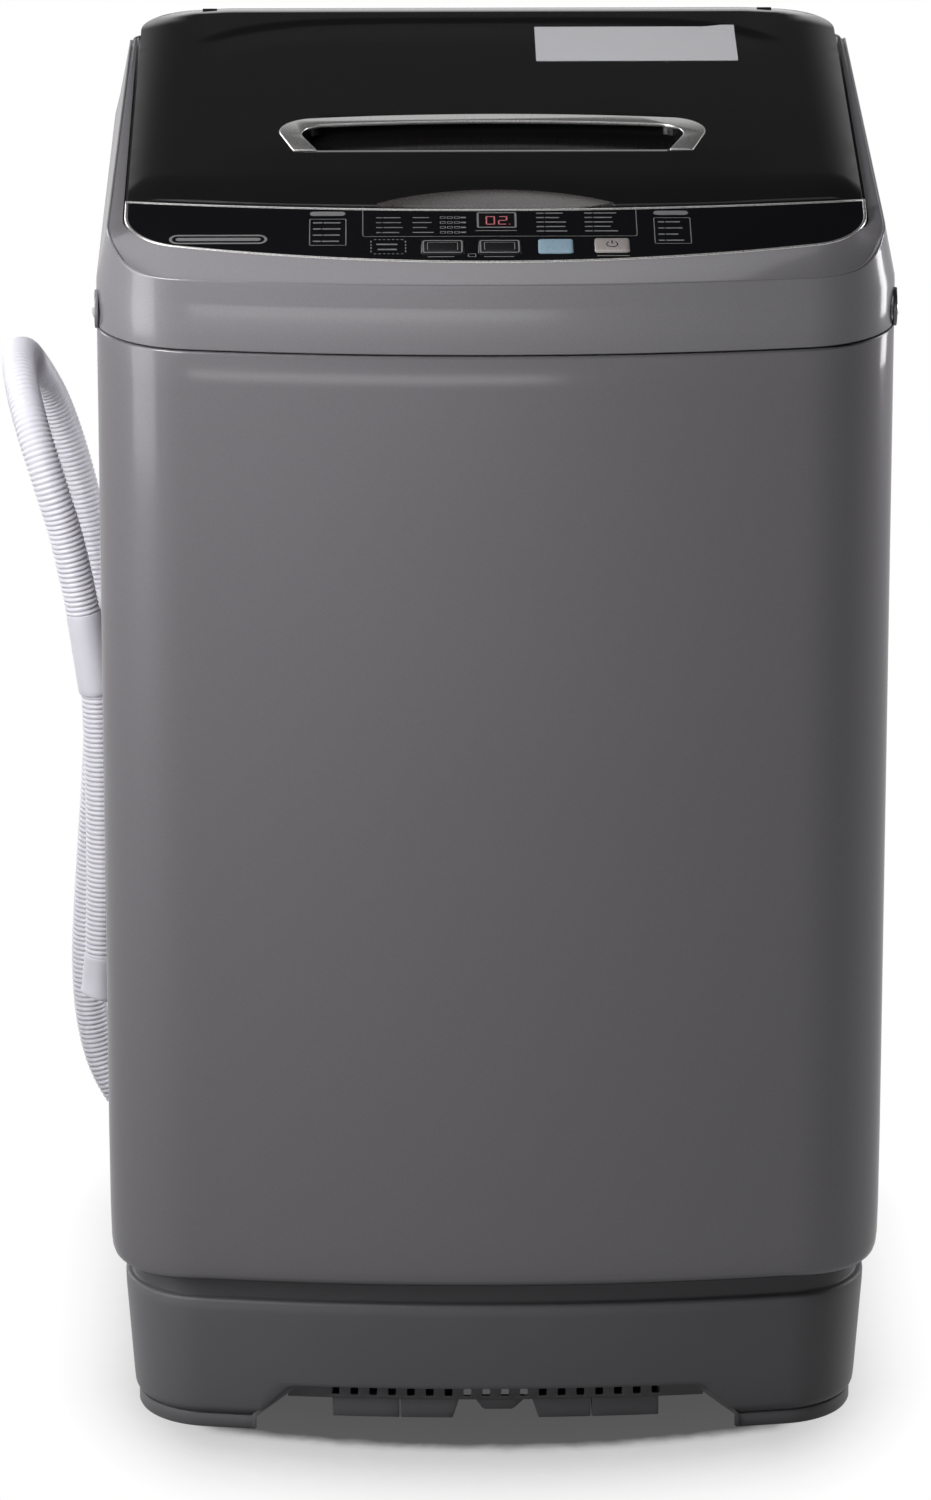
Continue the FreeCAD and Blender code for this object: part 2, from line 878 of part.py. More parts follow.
def make_base_vent_grille():
    """Tray behind the arch: a slotted strip, two hanging blocks and a small tab."""
    body = new_body("base_vent_grille")
    level = s.arch_height + s.part_gap
    inner = s.band_inset + s.base_wall
    front = s.front_reach - inner
    pad(body, [plan(inner + s.part_gap)], level, s.tray_thick)
    wide = s.body_width
    pocket(body, [rectangle(-wide, s.tray_reach - front, wide, wide)], level + s.tray_thick, s.tray_thick)
    pocket(body, foot_circles(s.post_radius + s.part_gap, rows=(-1,)), level + s.tray_thick, s.tray_thick)
    half = s.slot_pitch * (s.slot_count + 2) / 2
    strip_top = s.arch_height - s.part_gap
    strip = rectangle(-half, s.strip_bottom, half, strip_top)
    pad(body, [strip], front - 3 - s.strip_thick, s.strip_thick, role="XZ_Plane")
    hanger = rectangle(-half / 2, strip_top, half / 2, level)
    pad(body, [hanger], front - 3 - s.strip_thick, s.strip_thick, role="XZ_Plane")
    for sign in (-1, 1):
        inner_side = s.block_inner
        outer_side = s.block_outer
        left, right = (inner_side, outer_side) if sign > 0 else (-outer_side, -inner_side)
        outline = [(left + s.block_taper, s.block_bottom), (right - s.block_taper, s.block_bottom),
                   (right, s.strip_bottom), (left, s.strip_bottom)]
        pad(body, [outline], front - 3 - s.block_depth, s.block_depth, role="XZ_Plane")
    tab = rectangle(-s.tab_half, s.tab_bottom, s.tab_half, s.strip_bottom)
    pad(body, [tab], front - 3 - s.strip_thick, s.strip_thick, role="XZ_Plane")
    slots = []
    for number in range(int(s.slot_count.value)):
        x = s.slot_pitch * (number - (int(s.slot_count.value) - 1) / 2)
        slots.append(rectangle(x - s.slot_width / 2, s.slot_level - s.slot_height / 2,
                               x + s.slot_width / 2, s.slot_level + s.slot_height / 2))
    pocket(body, slots, front - 3, s.strip_thick, role="XZ_Plane")
    return piece(body, "base_vent_grille")


def make_front_foot(name, sign):
    """Levelling foot: a rubber-faced pad on a threaded stud."""
    body = new_body(name)
    pad(body, [Circle(0, 0, s.foot_radius)], 0, s.foot_pad_height)
    pad(body, [Circle(0, 0, s.stud_radius)], s.foot_pad_height, s.stud_top - s.foot_pad_height)
    return piece(place(body, sign * s.foot_x, -s.foot_y, 0), name)


def make_rear_feet():
    """Two fixed rear feet, pressed into their posts."""
    feet = []
    for sign in (-1, 1):
        pad_part = cylinder(s.foot_radius, s.foot_pad_height, sign * s.foot_x, s.foot_y, 0)
        stud = cylinder(s.stud_radius + s.running_fit, s.rear_stud_top, sign * s.foot_x, s.foot_y, 0)
        collar = cylinder(s.post_radius, s.post_bottom, sign * s.foot_x, s.foot_y, 0)
        feet.append(fuse([pad_part, stud, collar]))
    return piece(group(feet), "rear_feet")


# ---------------------------------------------------------------- top frame

def deck_profile():
    """Everything above the frame's top surface, as seen from the side."""
    far = s.front_reach + 10
    high = s.frame_ceiling + s.cut_overrun
    panel_rear_y = s.panel_length * cosine(s.panel_slope) - s.panel_reach
    panel_rear_z = s.panel_level + s.panel_length * sine(s.panel_slope)
    rise = s.plastic_wall * 2
    rim_y = panel_rear_y + rise
    return [
        (-far, s.shoulder_height), (-s.front_reach, s.shoulder_height),
        (-(s.panel_reach + s.trim_width), s.panel_level), (-s.panel_reach, s.panel_level),
        (panel_rear_y, panel_rear_z), (rim_y, lid_height(rim_y) - s.rim_drop),
        (far, lid_height(far) - s.rim_drop), (far, high), (-far, high)]


def side_profile(sign):
    """Everything outside one leaning side of the frame, as seen from the front."""
    far = s.body_width / 2 + 10
    high = s.frame_ceiling + s.cut_overrun
    rows = [(s.body_width / 2, s.side_shoulder), (far, s.side_shoulder), (far, high),
            (s.rim_rear_half, high), (s.rim_rear_half, s.frame_ceiling), (s.rim_half, s.rim_height)]
    if sign > 0:
        return rows
    return [(-x, z) for x, z in reversed(rows)]


def make_top_frame():
    """Moulded frame that carries the panel and the lid, open over the drum."""
    body = new_body("frame_body")
    seam = s.seam_height
    pad(body, [plan(0)], seam, s.frame_ceiling - seam)
    hollow_frame(body)
    wall = [Circle(0, s.opening_y, s.opening_radius + s.plastic_wall)]
    pad(body, wall, s.skirt_bottom, s.frame_ceiling - s.skirt_bottom)
    wide = s.body_width / 2 + 20
    pocket(body, [deck_profile()], wide, wide * 2, role="YZ_Plane")
    deep = s.front_reach + 20
    pocket(body, [side_profile(1), side_profile(-1)], -deep, deep * 2, role="XZ_Plane").Reversed = False
    opening = [Circle(0, s.opening_y, s.opening_radius)]
    pocket(body, opening, s.frame_ceiling, s.frame_ceiling - s.skirt_bottom)
    rear_trough(body)
    inlet = [Circle(s.inlet_x, s.inlet_level, s.inlet_thread + s.part_gap)]
    pocket(body, inlet, -(s.back_reach - s.rear_corner), s.rear_corner, role="XZ_Plane")
    holes = [Circle(s.side_screw_y, s.side_screw_height, s.screw_shank_radius)]
    pocket(body, holes, s.body_width / 2, s.body_width, role="YZ_Plane")
    cut = subtract(body, [panel_recess(), lid_recess(), finger_scoop(), nozzle_hole(), *screw_recesses()])
    return piece(fuse([cut, *hinge_ears()]), "top_frame")


def hollow_frame(body):
    """Hollow the frame from below, in three rising steps that follow its sloping deck."""
    wall = s.plastic_wall
    inner = plan(wall)
    pocket(body, [inner], s.first_ceiling, s.first_ceiling - s.seam_height)
    wide = s.body_width / 2 - wall - (s.body_width / 2 - s.rim_half)
    back = s.back_reach - wall * 3
    second = rectangle(-wide + wall, s.second_ceiling_y, wide - wall, back)
    pocket(body, [second], s.second_ceiling, s.second_ceiling - s.first_ceiling)
    third = rectangle(-wide + wall * 2, s.third_ceiling_y, wide - wall * 2, back - wall * 6)
    pocket(body, [third], s.third_ceiling, s.third_ceiling - s.second_ceiling)


def rear_trough(body):
    """Room for the lid's rear edge to swing down."""
    half = s.lid_half + s.lid_gap
    bottom = pivot_z() - s.trough_depth
    wide = s.body_width
    pocket(body, [rectangle(-half, s.trough_front, half, wide)], s.frame_ceiling, s.frame_ceiling - bottom)


def panel_recess():
    """Space for the panel, its trim and, below, the keys and the board."""
    body = new_body("panel_recess")
    high = 30
    pad(body, [panel_plan(-0.1)], -s.trim_depth, s.trim_depth + high)
    room = s.plastic_wall - 0.5
    bay = rectangle(-(s.board_half + room), s.board_front - room, s.board_half + room, s.board_rear + room)
    depth = s.board_drop + s.board_thick + s.bay_extra
    pad(body, [bay], -depth, depth)
    return on_panel(body)


def lid_recess():
    """Space for the closed lid."""
    body = new_body("lid_recess")
    seat = s.lid_thick + 1
    pad(body, [lid_plan(-s.lid_gap, s.lid_length + 30)], -seat, seat + 30)
    return on_lid(body)


def finger_scoop():
    """A hollow under the lid's front notch."""
    body = new_body("finger_scoop")
    depth = s.lid_thick + s.scoop_depth
    scoop = notch_plan(s.lid_gap, 1)
    pad(body, [scoop], -depth, depth)
    return on_lid(body)


def nozzle_hole():
    """Where the inlet nozzle reaches through the opening's wall."""
    reach = s.nozzle_radius + s.part_gap
    level = s.inlet_level - s.nozzle_drop
    return cylinder(reach, s.duct_front - s.nozzle_reach, s.inlet_x, s.nozzle_reach, level, "y")


def screw_recesses():
    """Shallow round seats for the two side screws."""
    depth = s.screw_head_height / 2
    radius = s.screw_head_radius + s.part_gap
    side = s.body_width / 2
    return [cylinder(radius, depth, side - depth, s.side_screw_y, s.side_screw_height, "x"),
            cylinder(radius, depth, -side, s.side_screw_y, s.side_screw_height, "x")]


def hinge_ears():
    """Two ears that carry the lid's pins."""
    ears = []
    bottom = pivot_z() - s.trough_depth - 2
    for sign in (-1, 1):
        left = s.ear_x if sign > 0 else -s.ear_x - s.ear_width
        eye = cylinder(s.ear_radius, s.ear_width, left, pivot_y(), pivot_z(), "x")
        post = block((left, left + s.ear_width), (pivot_y() - s.ear_radius, pivot_y() + s.ear_radius - 2),
                     (bottom, pivot_z()))
        bore = cylinder(s.pin_radius + s.running_fit, s.ear_width, left, pivot_y(), pivot_z(), "x")
        ears.append(subtract(fuse([eye, post]), [bore]))
    return ears


# ---------------------------------------------------------------- control panel

KEYS = [("key_program", "program_key_x", "wide_key"), ("key_level", "level_key_x", "wide_key"),
        ("key_start", "start_key_x", "narrow_key"), ("key_power", "power_key_x", "narrow_key")]


def key_loop(place_name, width_name, margin):
    """Outline of one key's face or, with a margin, of the hole it moves in."""
    x = getattr(s, place_name)
    width = getattr(s, width_name) + margin * 2
    return rounded_box(x, s.key_row, width, s.key_height + margin * 2, s.key_corner + margin)


def rounded_box(x, y, width, height, radius):
    """A rectangle about a middle point, with rounded corners."""
    half = width / 2
    rise = height / 2
    return [
        (x + half, y + radius - rise, radius), (x + half, y + rise - radius),
        (x + half - radius, y + rise, radius), (x - half + radius, y + rise),
        (x - half, y + rise - radius, radius), (x - half, y + radius - rise),
        (x - half + radius, y - rise, radius), (x + half - radius, y - rise)]


def make_panel_fascia():
    """Glossy panel plate with its holes for the keys and the window, and four board bosses."""
    body = new_body("panel_fascia")
    pad(body, [panel_plan(s.trim_width)], -s.panel_thick, s.panel_thick)
    bosses = [Circle(x * (s.board_half - 5), y, s.boss_radius)
              for x in (1, -1) for y in (s.board_front + 5, s.board_rear - 5)]
    pad(body, bosses, -s.board_drop, s.board_drop - s.panel_thick)
    holes = [key_loop(x, width, s.part_gap) for name, x, width in KEYS]
    pocket(body, holes, 0, s.panel_thick)
    pocket(body, [window_loop()], 0, s.panel_thick)
    return piece(on_panel(body), "panel_fascia")


def window_loop():
    half = s.window_width / 2
    rise = s.window_height / 2
    return rectangle(s.window_x - half, s.window_row - rise, s.window_x + half, s.window_row + rise)


def make_panel_trim():
    """Bright strip all round the panel."""
    body = new_body("panel_trim")
    pad(body, [panel_plan(0), panel_plan(s.trim_width)], -s.trim_depth, s.trim_depth + s.trim_proud)
    return piece(on_panel(body), "panel_trim")


def make_display_window():
    body = new_body("display_window")
    pad(body, [window_loop()], -s.panel_thick, s.panel_thick - 0.2)
    return piece(on_panel(body), "display_window")


def make_control_board():
    """Circuit board with a switch under each key and the display block under the window."""
    body = new_body("control_board")
    top = -s.board_drop
    board = rectangle(-s.board_half, s.board_front, s.board_half, s.board_rear)
    pad(body, [board], top - s.board_thick, s.board_thick)
    half = s.switch_size / 2
    stop = s.key_depth + s.key_travel + s.part_gap
    switches = [rectangle(getattr(s, x) - half, s.key_row - half, getattr(s, x) + half, s.key_row + half)
                for name, x, width in KEYS]
    pad(body, switches, top, s.board_drop - stop)
    pad(body, [window_loop()], top, s.board_drop - s.panel_thick - 1)
    return piece(on_panel(body), "control_board")


def make_keys():
    """Four keys that travel down their holes."""
    for name, x, width in KEYS:
        body = new_body(name)
        pad(body, [key_loop(x, width, 0)], -s.key_depth, s.key_depth + s.key_proud)
        piece(on_panel(body), name)


# ---------------------------------------------------------------- lid

def make_lid_cover():
    """Glossy lid shell with bevelled sides, a finger notch, a handle pocket and hinge lugs."""
    body = new_body("lid_cover")
    pad(body, [lid_plan(0, s.lid_length)], -s.lid_thick, s.lid_thick)
    bevel_lid(body)
    depth = s.lid_thick - s.lid_wall - s.bevel_drop / 2
    hollow = pocket(body, [lid_plan(s.lid_wall + s.bevel_drop, s.lid_length)], -s.lid_thick, depth)
    hollow.Reversed = True
    wall = s.lid_wall
    pad(body, [trimmed_notch(wall)], -s.lid_thick, s.lid_thick - wall / 2)
    pocket(body, [notch_plan(0)], 1, s.lid_thick + 2)
    tub = rectangle(-(s.pocket_half + wall), s.pocket_front - wall, s.pocket_half + wall,
                    s.pocket_rear + s.pocket_undercut + wall)
    pad(body, [tub], -(s.pocket_depth + wall), s.pocket_depth)
    handle_pocket(body)
    pocket(body, [arch_plan(s.part_gap)], 1, s.arch_thick + 1)
    lugs = []
    for sign in (-1, 1):
        left = s.lug_x if sign > 0 else -s.lug_x - s.lug_width
        lugs.append(rectangle(left, s.pivot_back - s.ear_radius, left + s.lug_width,
                              s.pivot_back + s.ear_radius))
    pad(body, lugs, -(s.pivot_drop + s.ear_radius), s.pivot_drop + s.ear_radius - wall / 2)
    bore = [Circle(s.pivot_back, -s.pivot_drop, s.pin_radius)]
    pocket(body, bore, s.lid_half - wall * 2, (s.lid_half - wall * 2) * 2, role="YZ_Plane")
    notch_left = [rectangle(x, s.pivot_back - s.trough_depth, x + s.ear_width + 4, s.lid_length + 1)
                  for x in (s.ear_x - 2, -s.ear_x - s.ear_width - 2)]
    clear = pocket(body, notch_left, -s.lid_thick - 1, s.lid_thick - 1 - wall)
    clear.Reversed = True
    return piece(on_lid(body), "lid_cover")


def trimmed_notch(margin):
    """The notch's wall, kept behind the lid's own front edge."""
    loop = notch_plan(margin)
    half = s.notch_half + s.notch_reach
    front = half * half / (s.lid_bow * 2)
    radius = loop[0][2]
    centre_y = s.notch_reach + margin - radius
    side = root(radius * radius - (front - centre_y) * (front - centre_y))
    return [(-side, front, radius), (side, front)]


def bevel_lid(body):
    """Lower the lid's two long sides and its rear edge with flat bevels."""
    half = s.lid_half
    low = s.bevel_drop
    far_drop = -low * (s.bevel_width + 5) / s.bevel_width
    right = [(half - s.bevel_width, 0), (half + 5, far_drop), (half + 5, 5), (half - s.bevel_width, 5)]
    left = [(-x, z) for x, z in reversed(right)]
    sides = pocket(body, [right, left], -s.lid_length - 5, s.lid_length * 2 + 20, role="XZ_Plane")
    sides.Reversed = False
    rear = [(s.lid_length - s.bevel_width, 0), (s.lid_length + 5, far_drop), (s.lid_length + 5, 5),
            (s.lid_length - s.bevel_width, 5)]
    pocket(body, [rear], half + 5, (half + 5) * 2, role="YZ_Plane")


def handle_pocket(body):
    """Finger pocket: a ramp from the crease, a floor and an undercut below the trim."""
    depth = s.pocket_depth
    lip = s.lid_wall
    profile = [
        (s.pocket_front, 0), (s.pocket_front + s.pocket_ramp, -depth),
        (s.pocket_rear + s.pocket_undercut, -depth), (s.pocket_rear + s.pocket_undercut, -lip),
        (s.pocket_rear, -lip), (s.pocket_rear, 1), (s.pocket_front, 1)]
    pocket(body, [profile], s.pocket_half, s.pocket_half * 2, role="YZ_Plane")


def arch_plan(margin):
    """The handle trim: an arch with a bowed back and two short legs."""
    margin = as_size(margin)
    half = s.arch_outer_half + margin
    rear = s.arch_outer_rear + margin
    bow = s.arch_bow
    corner = s.arch_corner
    side_x = half - corner
    drop = bow - root(bow * bow - side_x * side_x)
    inner_half = s.arch_outer_half - s.arch_side_band - margin
    inner_rear = s.arch_outer_rear - s.arch_band - margin
    inner_corner = corner - s.arch_band / 2
    inner_x = inner_half - inner_corner
    inner_drop = bow - root(bow * bow - inner_x * inner_x)
    front = s.pocket_front + 1 - margin
    return [
        (inner_half - 6, front), (half - 6, front), (half, rear - drop - corner),
        (side_x, rear - drop, corner), (-side_x, rear - drop, bow), (-half, rear - drop - corner, corner),
        (6 - half, front), (6 - inner_half, front), (-inner_half, inner_rear - inner_drop - inner_corner),
        (-inner_x, inner_rear - inner_drop, -inner_corner), (inner_x, inner_rear - inner_drop, -bow),
        (inner_half, inner_rear - inner_drop - inner_corner, -inner_corner)]


def make_lid_handle_trim():
    body = new_body("lid_handle_trim")
    pad(body, [arch_plan(0)], -s.arch_thick, s.arch_thick + s.arch_proud)
    pocket(body, [rectangle(-s.pocket_half, s.pocket_front - 1, s.pocket_half, s.pocket_rear)],
           -s.arch_thick / 2, s.arch_thick)
    return piece(on_lid(body), "lid_handle_trim")


def make_lid_liner():
    """Flat inner plate that closes the lid's underside in front of the hinge."""
    body = new_body("lid_liner")
    inset = s.lid_wall + s.bevel_drop
    pad(body, [lid_plan(inset, s.lid_length)], -s.lid_thick, s.liner_thick)
    wide = s.lid_half
    pocket(body, [rectangle(-wide, s.liner_length, wide, s.lid_length)], 0, s.lid_thick + 1)
    pocket(body, [notch_plan(s.lid_wall)], 0, s.lid_thick + 1)
    return piece(on_lid(body), "lid_liner")


def make_lid_hinge_pins():
    """Two steel pins, pressed into the lid and running in the frame's ears."""
    pins = []
    for sign in (-1, 1):
        left = s.lug_x if sign > 0 else -s.lug_x - s.pin_length
        pins.append(cylinder(s.pin_radius, s.pin_length, left, pivot_y(), pivot_z(), "x"))
    return piece(group(pins), "lid_hinge_pins")


# ---------------------------------------------------------------- tub and suspension

def make_outer_tub():
    """Plastic tub with four hanging lugs, plate spacers and a sump."""
    body = new_body("outer_tub")
    outer = s.tub_radius + s.tub_wall
    floor = s.tub_floor
    revolve(body, [[
        (s.hub_bore, floor), (outer, floor), (outer, s.tub_top - s.tub_lip * 2),
        (outer + s.tub_lip, s.tub_top - s.tub_lip), (outer + s.tub_lip, s.tub_top),
        (s.tub_radius, s.tub_top), (s.tub_radius, floor + s.tub_floor_thick),
        (s.hub_bore, floor + s.tub_floor_thick)]])
    reach = s.rod_offset * math.sqrt(2)
    arm = rectangle(s.tub_radius + 1, -s.lug_half, reach, s.lug_half)
    lug = pad(body, [arm], s.lug_level, s.lug_thick, angle=45)
    around(body, lug, 4, lug.Profile[0])
    eye = pad(body, [Circle(reach, 0, s.lug_end_radius)], s.lug_level, s.lug_thick, angle=45)
    around(body, eye, 4, eye.Profile[0])
    bores = [Circle(x * s.rod_offset, y * s.rod_offset, s.lug_bore) for x, y in CORNERS]
    pocket(body, bores, s.lug_level + s.lug_thick, s.lug_thick)
    spacers = [Circle(x * s.spacer_x, y, s.spacer_radius) for x in (1, -1)
               for y in (-s.spacer_front, s.spacer_rear)]
    bottom = s.plate_level + s.plate_thick
    pad(body, spacers, bottom, floor - bottom)
    sump_bottom = s.drain_axis + s.valve_radius
    pad(body, [Circle(s.drain_x, s.drain_y, s.sump_radius)], sump_bottom, floor - sump_bottom)
    pocket(body, [Circle(s.drain_x, s.drain_y, s.valve_bore - 3)], floor + s.tub_floor_thick,
           floor + s.tub_floor_thick - sump_bottom)
    return piece(body, "outer_tub")


def make_tub_cover():
    """Splash ring over the gap between tub and drum."""
    body = new_body("tub_cover")
    outer = s.tub_radius + s.tub_wall + s.tub_lip
    top = s.tub_top + s.cover_thick
    rise = s.cover_rise
    revolve(body, [[
        (s.tub_radius - 6, s.tub_top), (outer, s.tub_top), (outer, top),
        (s.tub_radius - 4, top + rise), (s.cover_radius, top + rise),
        (s.cover_radius, top + rise - s.cover_thick), (s.tub_radius - 6, top + rise - s.cover_thick)]])
    return piece(body, "tub_cover")


def rod_places():
    return [(x * s.rod_offset, y * s.rod_offset) for x, y in CORNERS]


def make_suspension_brackets():
    """Steel plates in the cabinet's four top corners."""
    prism = new_body("bracket_outline")
    pad(prism, [plan(s.sheet_steel)], s.bracket_level, s.bracket_thick)
    far = s.body_width
    levels = (s.bracket_level - 1, s.bracket_level + s.bracket_thick + 1)
    corners = []
    for x, y in CORNERS:
        across = (s.bracket_inner, far) if x > 0 else (-far, -s.bracket_inner)
        along = (s.bracket_inner, far) if y > 0 else (-far, -s.bracket_inner)
        corners.append(block(across, along, levels))
    holes = [cylinder(s.rod_radius + 1, s.bracket_thick, x, y, s.bracket_level) for x, y in rod_places()]
    return piece(subtract(common([prism, group(corners)]), holes), "suspension_brackets")


def make_suspension_seats():
    """Nylon seats that the rods' balls rock in."""
    level = s.bracket_level + s.bracket_thick
    seats = []
    for x, y in rod_places():
        seat = cylinder(s.seat_radius, s.seat_height, x, y, level)
        bore = cylinder(s.rod_radius + 1, s.seat_height, x, y, level)
        ball = doc.addObject("Part::Sphere", "Sphere")
        bind(ball, "Radius", s.ball_radius)
        place(ball, x, y, ball_level())
        seats.append(subtract(seat, [bore, ball]))
    return piece(group(seats), "suspension_seats")


def ball_level():
    return s.bracket_level + s.bracket_thick + s.seat_height + s.ball_radius / 3


def make_suspension_rods():
    """Four steel rods, each with a ball at the top and a spring cup at the bottom."""
    rods = []
    for x, y in rod_places():
        rod = cylinder(s.rod_radius, ball_level() - s.rod_bottom, x, y, s.rod_bottom)
        cup = cylinder(s.cup_radius, s.cup_thick, x, y, s.rod_bottom)
        ball = doc.addObject("Part::Sphere", "Sphere")
        bind(ball, "Radius", s.ball_radius)
        place(ball, x, y, ball_level())
        rods.append(fuse([rod, cup, ball]))
    return piece(group(rods), "suspension_rods")


def make_suspension_springs():
    """Four springs between the rod cups and the tub's lugs, as sleeves of the coils' size."""
    bottom = s.rod_bottom + s.cup_thick
    springs = []
    for x, y in rod_places():
        outer = cylinder(s.spring_radius, s.lug_level - bottom, x, y, bottom)
        inner = cylinder(s.spring_radius - s.spring_wire, s.lug_level - bottom, x, y, bottom)
        springs.append(subtract(outer, [inner]))
    return piece(group(springs), "suspension_springs")


# ---------------------------------------------------------------- drum and drive

def make_inner_drum():
    """Stainless steel drum, open at the top."""
    body = new_body("inner_drum")
    inner = s.drum_radius - s.drum_wall
    revolve(body, [[
        (s.tube_radius, s.drum_bottom), (s.drum_radius, s.drum_bottom), (s.drum_radius, s.drum_top),
        (inner, s.drum_top), (inner, s.drum_bottom + s.drum_wall),
        (s.tube_radius, s.drum_bottom + s.drum_wall)]])
    return piece(body, "inner_drum")


def make_balance_ring():
    body = new_body("balance_ring")
    top = s.drum_top + s.ring_height
    slope = s.ring_height / 4
    revolve(body, [[
        (s.ring_inner, s.drum_top + slope), (s.ring_inner + slope, s.drum_top), (s.drum_radius, s.drum_top),
        (s.drum_radius, top - slope), (s.drum_radius - slope, top), (s.ring_inner, top)]])
    return piece(body, "balance_ring")


def make_drum_flange():
    """Cast spider that ties the drum to its hollow shaft."""
    body = new_body("drum_flange")
    revolve(body, [[
        (s.tube_radius, s.flange_bottom), (s.flange_hub, s.flange_bottom),
        (s.flange_hub, s.drum_bottom - s.flange_thick),
        (s.flange_radius, s.drum_bottom - s.flange_thick / 2),
        (s.flange_radius, s.drum_bottom), (s.tube_radius, s.drum_bottom)]])
    return piece(body, "drum_flange")


def make_spin_tube():
    top = s.drum_bottom + s.drum_wall + 3
    inner = s.shaft_radius + s.running_fit
    return piece(ring("spin_tube", inner, s.tube_radius, s.tube_bottom, top), "spin_tube")


def make_lint_filter():
    """Filter pocket against the drum's wall."""
    height = s.filter_top - s.filter_bottom
    inner = s.drum_radius - s.drum_wall
    box = block((inner - s.filter_depth, inner + 5), (-s.filter_half, s.filter_half),
                (s.filter_bottom, s.filter_top))
    room = cylinder(inner, height, 0, 0, s.filter_bottom)
    return piece(common([box, room]), "lint_filter")


def make_pulsator():
    """Domed wash plate with raised vanes."""
    body = new_body("pulsator")
    bottom = s.pulsator_bottom
    edge = bottom + s.pulsator_edge
    crown = bottom + s.pulsator_dome
    shoulder = crown - s.pulsator_edge
    rim = s.pulsator_radius - s.pulsator_wall
    revolve(body, [[
        (s.shaft_radius, bottom), (s.pulsator_hub, bottom), (s.pulsator_hub, shoulder - s.pulsator_wall),
        (rim, edge - s.pulsator_wall), (rim, bottom), (s.pulsator_radius, bottom), (s.pulsator_radius, edge),
        (s.hub_cone, shoulder), (s.cap_radius + 4, crown), (s.shaft_radius, crown)]])
    half = s.vane_width / 2
    vane = pad(body, [rectangle(s.vane_inner, -half, s.vane_outer, half)], edge - 2, s.vane_height)
    around(body, vane, s.vane_count, vane.Profile[0])
    return piece(body, "pulsator")


def make_wash_shaft():
    body = new_body("wash_shaft")
    revolve(body, [[
        (0, s.shaft_bottom), (s.shaft_radius, s.shaft_bottom), (s.shaft_radius, s.shaft_top - 2),
        (s.cap_screw_radius, s.shaft_top - 2), (s.cap_screw_radius, s.shaft_top - 2 - s.cap_screw_length),
        (0, s.shaft_top - 2 - s.cap_screw_length)]])
    return piece(body, "wash_shaft")


def make_pulsator_screw():
    crown = s.pulsator_bottom + s.pulsator_dome
    head = cylinder(s.cap_radius, s.cap_height, 0, 0, crown)
    shank = cylinder(s.cap_screw_radius, s.cap_screw_length, 0, 0, crown - s.cap_screw_length)
    return piece(fuse([head, shank]), "pulsator_screw")


def make_mounting_plate():
    """Steel plate under the tub that carries the motor and the clutch."""
    body = new_body("mounting_plate")
    outline = rectangle(-s.plate_half, -s.plate_front, s.plate_half, s.plate_rear)
    pad(body, [outline], s.plate_level, s.plate_thick)
    pocket(body, [Circle(0, 0, s.hub_bore)], s.plate_level + s.plate_thick, s.plate_thick)
    return piece(body, "mounting_plate")


def make_clutch_housing():
    """Housing of the reduction gear and clutch, with a neck up through the tub's floor."""
    body = new_body("clutch_housing")
    flange = s.plate_level - s.housing_flange_thick
    seat = s.bearing_radius
    inner = s.bearing_radius - 6
    low = s.housing_bottom + s.plate_thick * 2
    neck = s.hub_bore
    revolve(body, [[
        (s.stub_radius + s.running_fit, s.housing_bottom), (s.housing_radius, s.housing_bottom),
        (s.housing_radius, flange), (s.housing_flange, flange), (s.housing_flange, s.plate_level),
        (neck, s.plate_level), (neck, s.housing_neck_top), (seat, s.housing_neck_top),
        (seat, s.housing_neck_top - s.bearing_height), (inner, s.housing_neck_top - s.bearing_height),
        (inner, low + s.bearing_height * 2), (seat, low + s.bearing_height * 2),
        (seat, low + s.bearing_height), (seat, low), (s.stub_radius + s.running_fit, low)]])
    return piece(body, "clutch_housing")


def make_shaft_bearings():
    """Two ball bearings of one size, as plain rings."""
    low = s.housing_bottom + s.plate_thick * 2 + s.bearing_height
    inner = s.tube_radius + s.running_fit
    upper = ring("upper_bearing", inner, s.bearing_radius, s.housing_neck_top - s.bearing_height,
                 s.housing_neck_top)
    lower = ring("lower_bearing", inner, s.bearing_radius, low, low + s.bearing_height)
    return piece(group([upper, lower]), "shaft_bearings")


def make_shaft_seal():
    inner = s.tube_radius + s.running_fit
    bottom = s.housing_neck_top
    return piece(ring("shaft_seal", inner, s.hub_bore, bottom, bottom + s.seal_height), "shaft_seal")


def grooved(radius, bottom, width, bore, hub_top):
    """A pulley's half section: two rims, a groove for the belt and a hub."""
    groove = s.belt_thick
    rim = (width - s.belt_width) / 2 - s.part_gap
    return [
        (bore, bottom), (radius + groove / 2, bottom), (radius + groove / 2, bottom + rim),
        (radius, bottom + rim), (radius, bottom + width - rim), (radius + groove / 2, bottom + width - rim),
        (radius + groove / 2, bottom + width), (s.stub_radius, bottom + width), (s.stub_radius, hub_top),
        (bore, hub_top)]


def make_clutch_pulley():
    body = new_body("clutch_pulley")
    top = s.tube_bottom - s.part_gap
    revolve(body, [grooved(s.pulley_radius, s.pulley_level, s.pulley_width, 0, top)])
    return piece(body, "clutch_pulley")


def make_motor_rotor():
    """Motor shaft with its small pulley."""
    body = new_body("motor_rotor")
    low = s.pulley_level
    top = low + s.pulley_width
    loop = grooved(s.motor_pulley_radius, low, s.pulley_width, 0, top + 4)
    shaft = [(s.motor_shaft_radius, top + 4), (s.motor_shaft_radius, s.motor_shaft_top),
             (0, s.motor_shaft_top)]
    revolve(body, [loop[:-1] + shaft])
    return piece(place(body, 0, s.motor_y, 0), "motor_rotor")


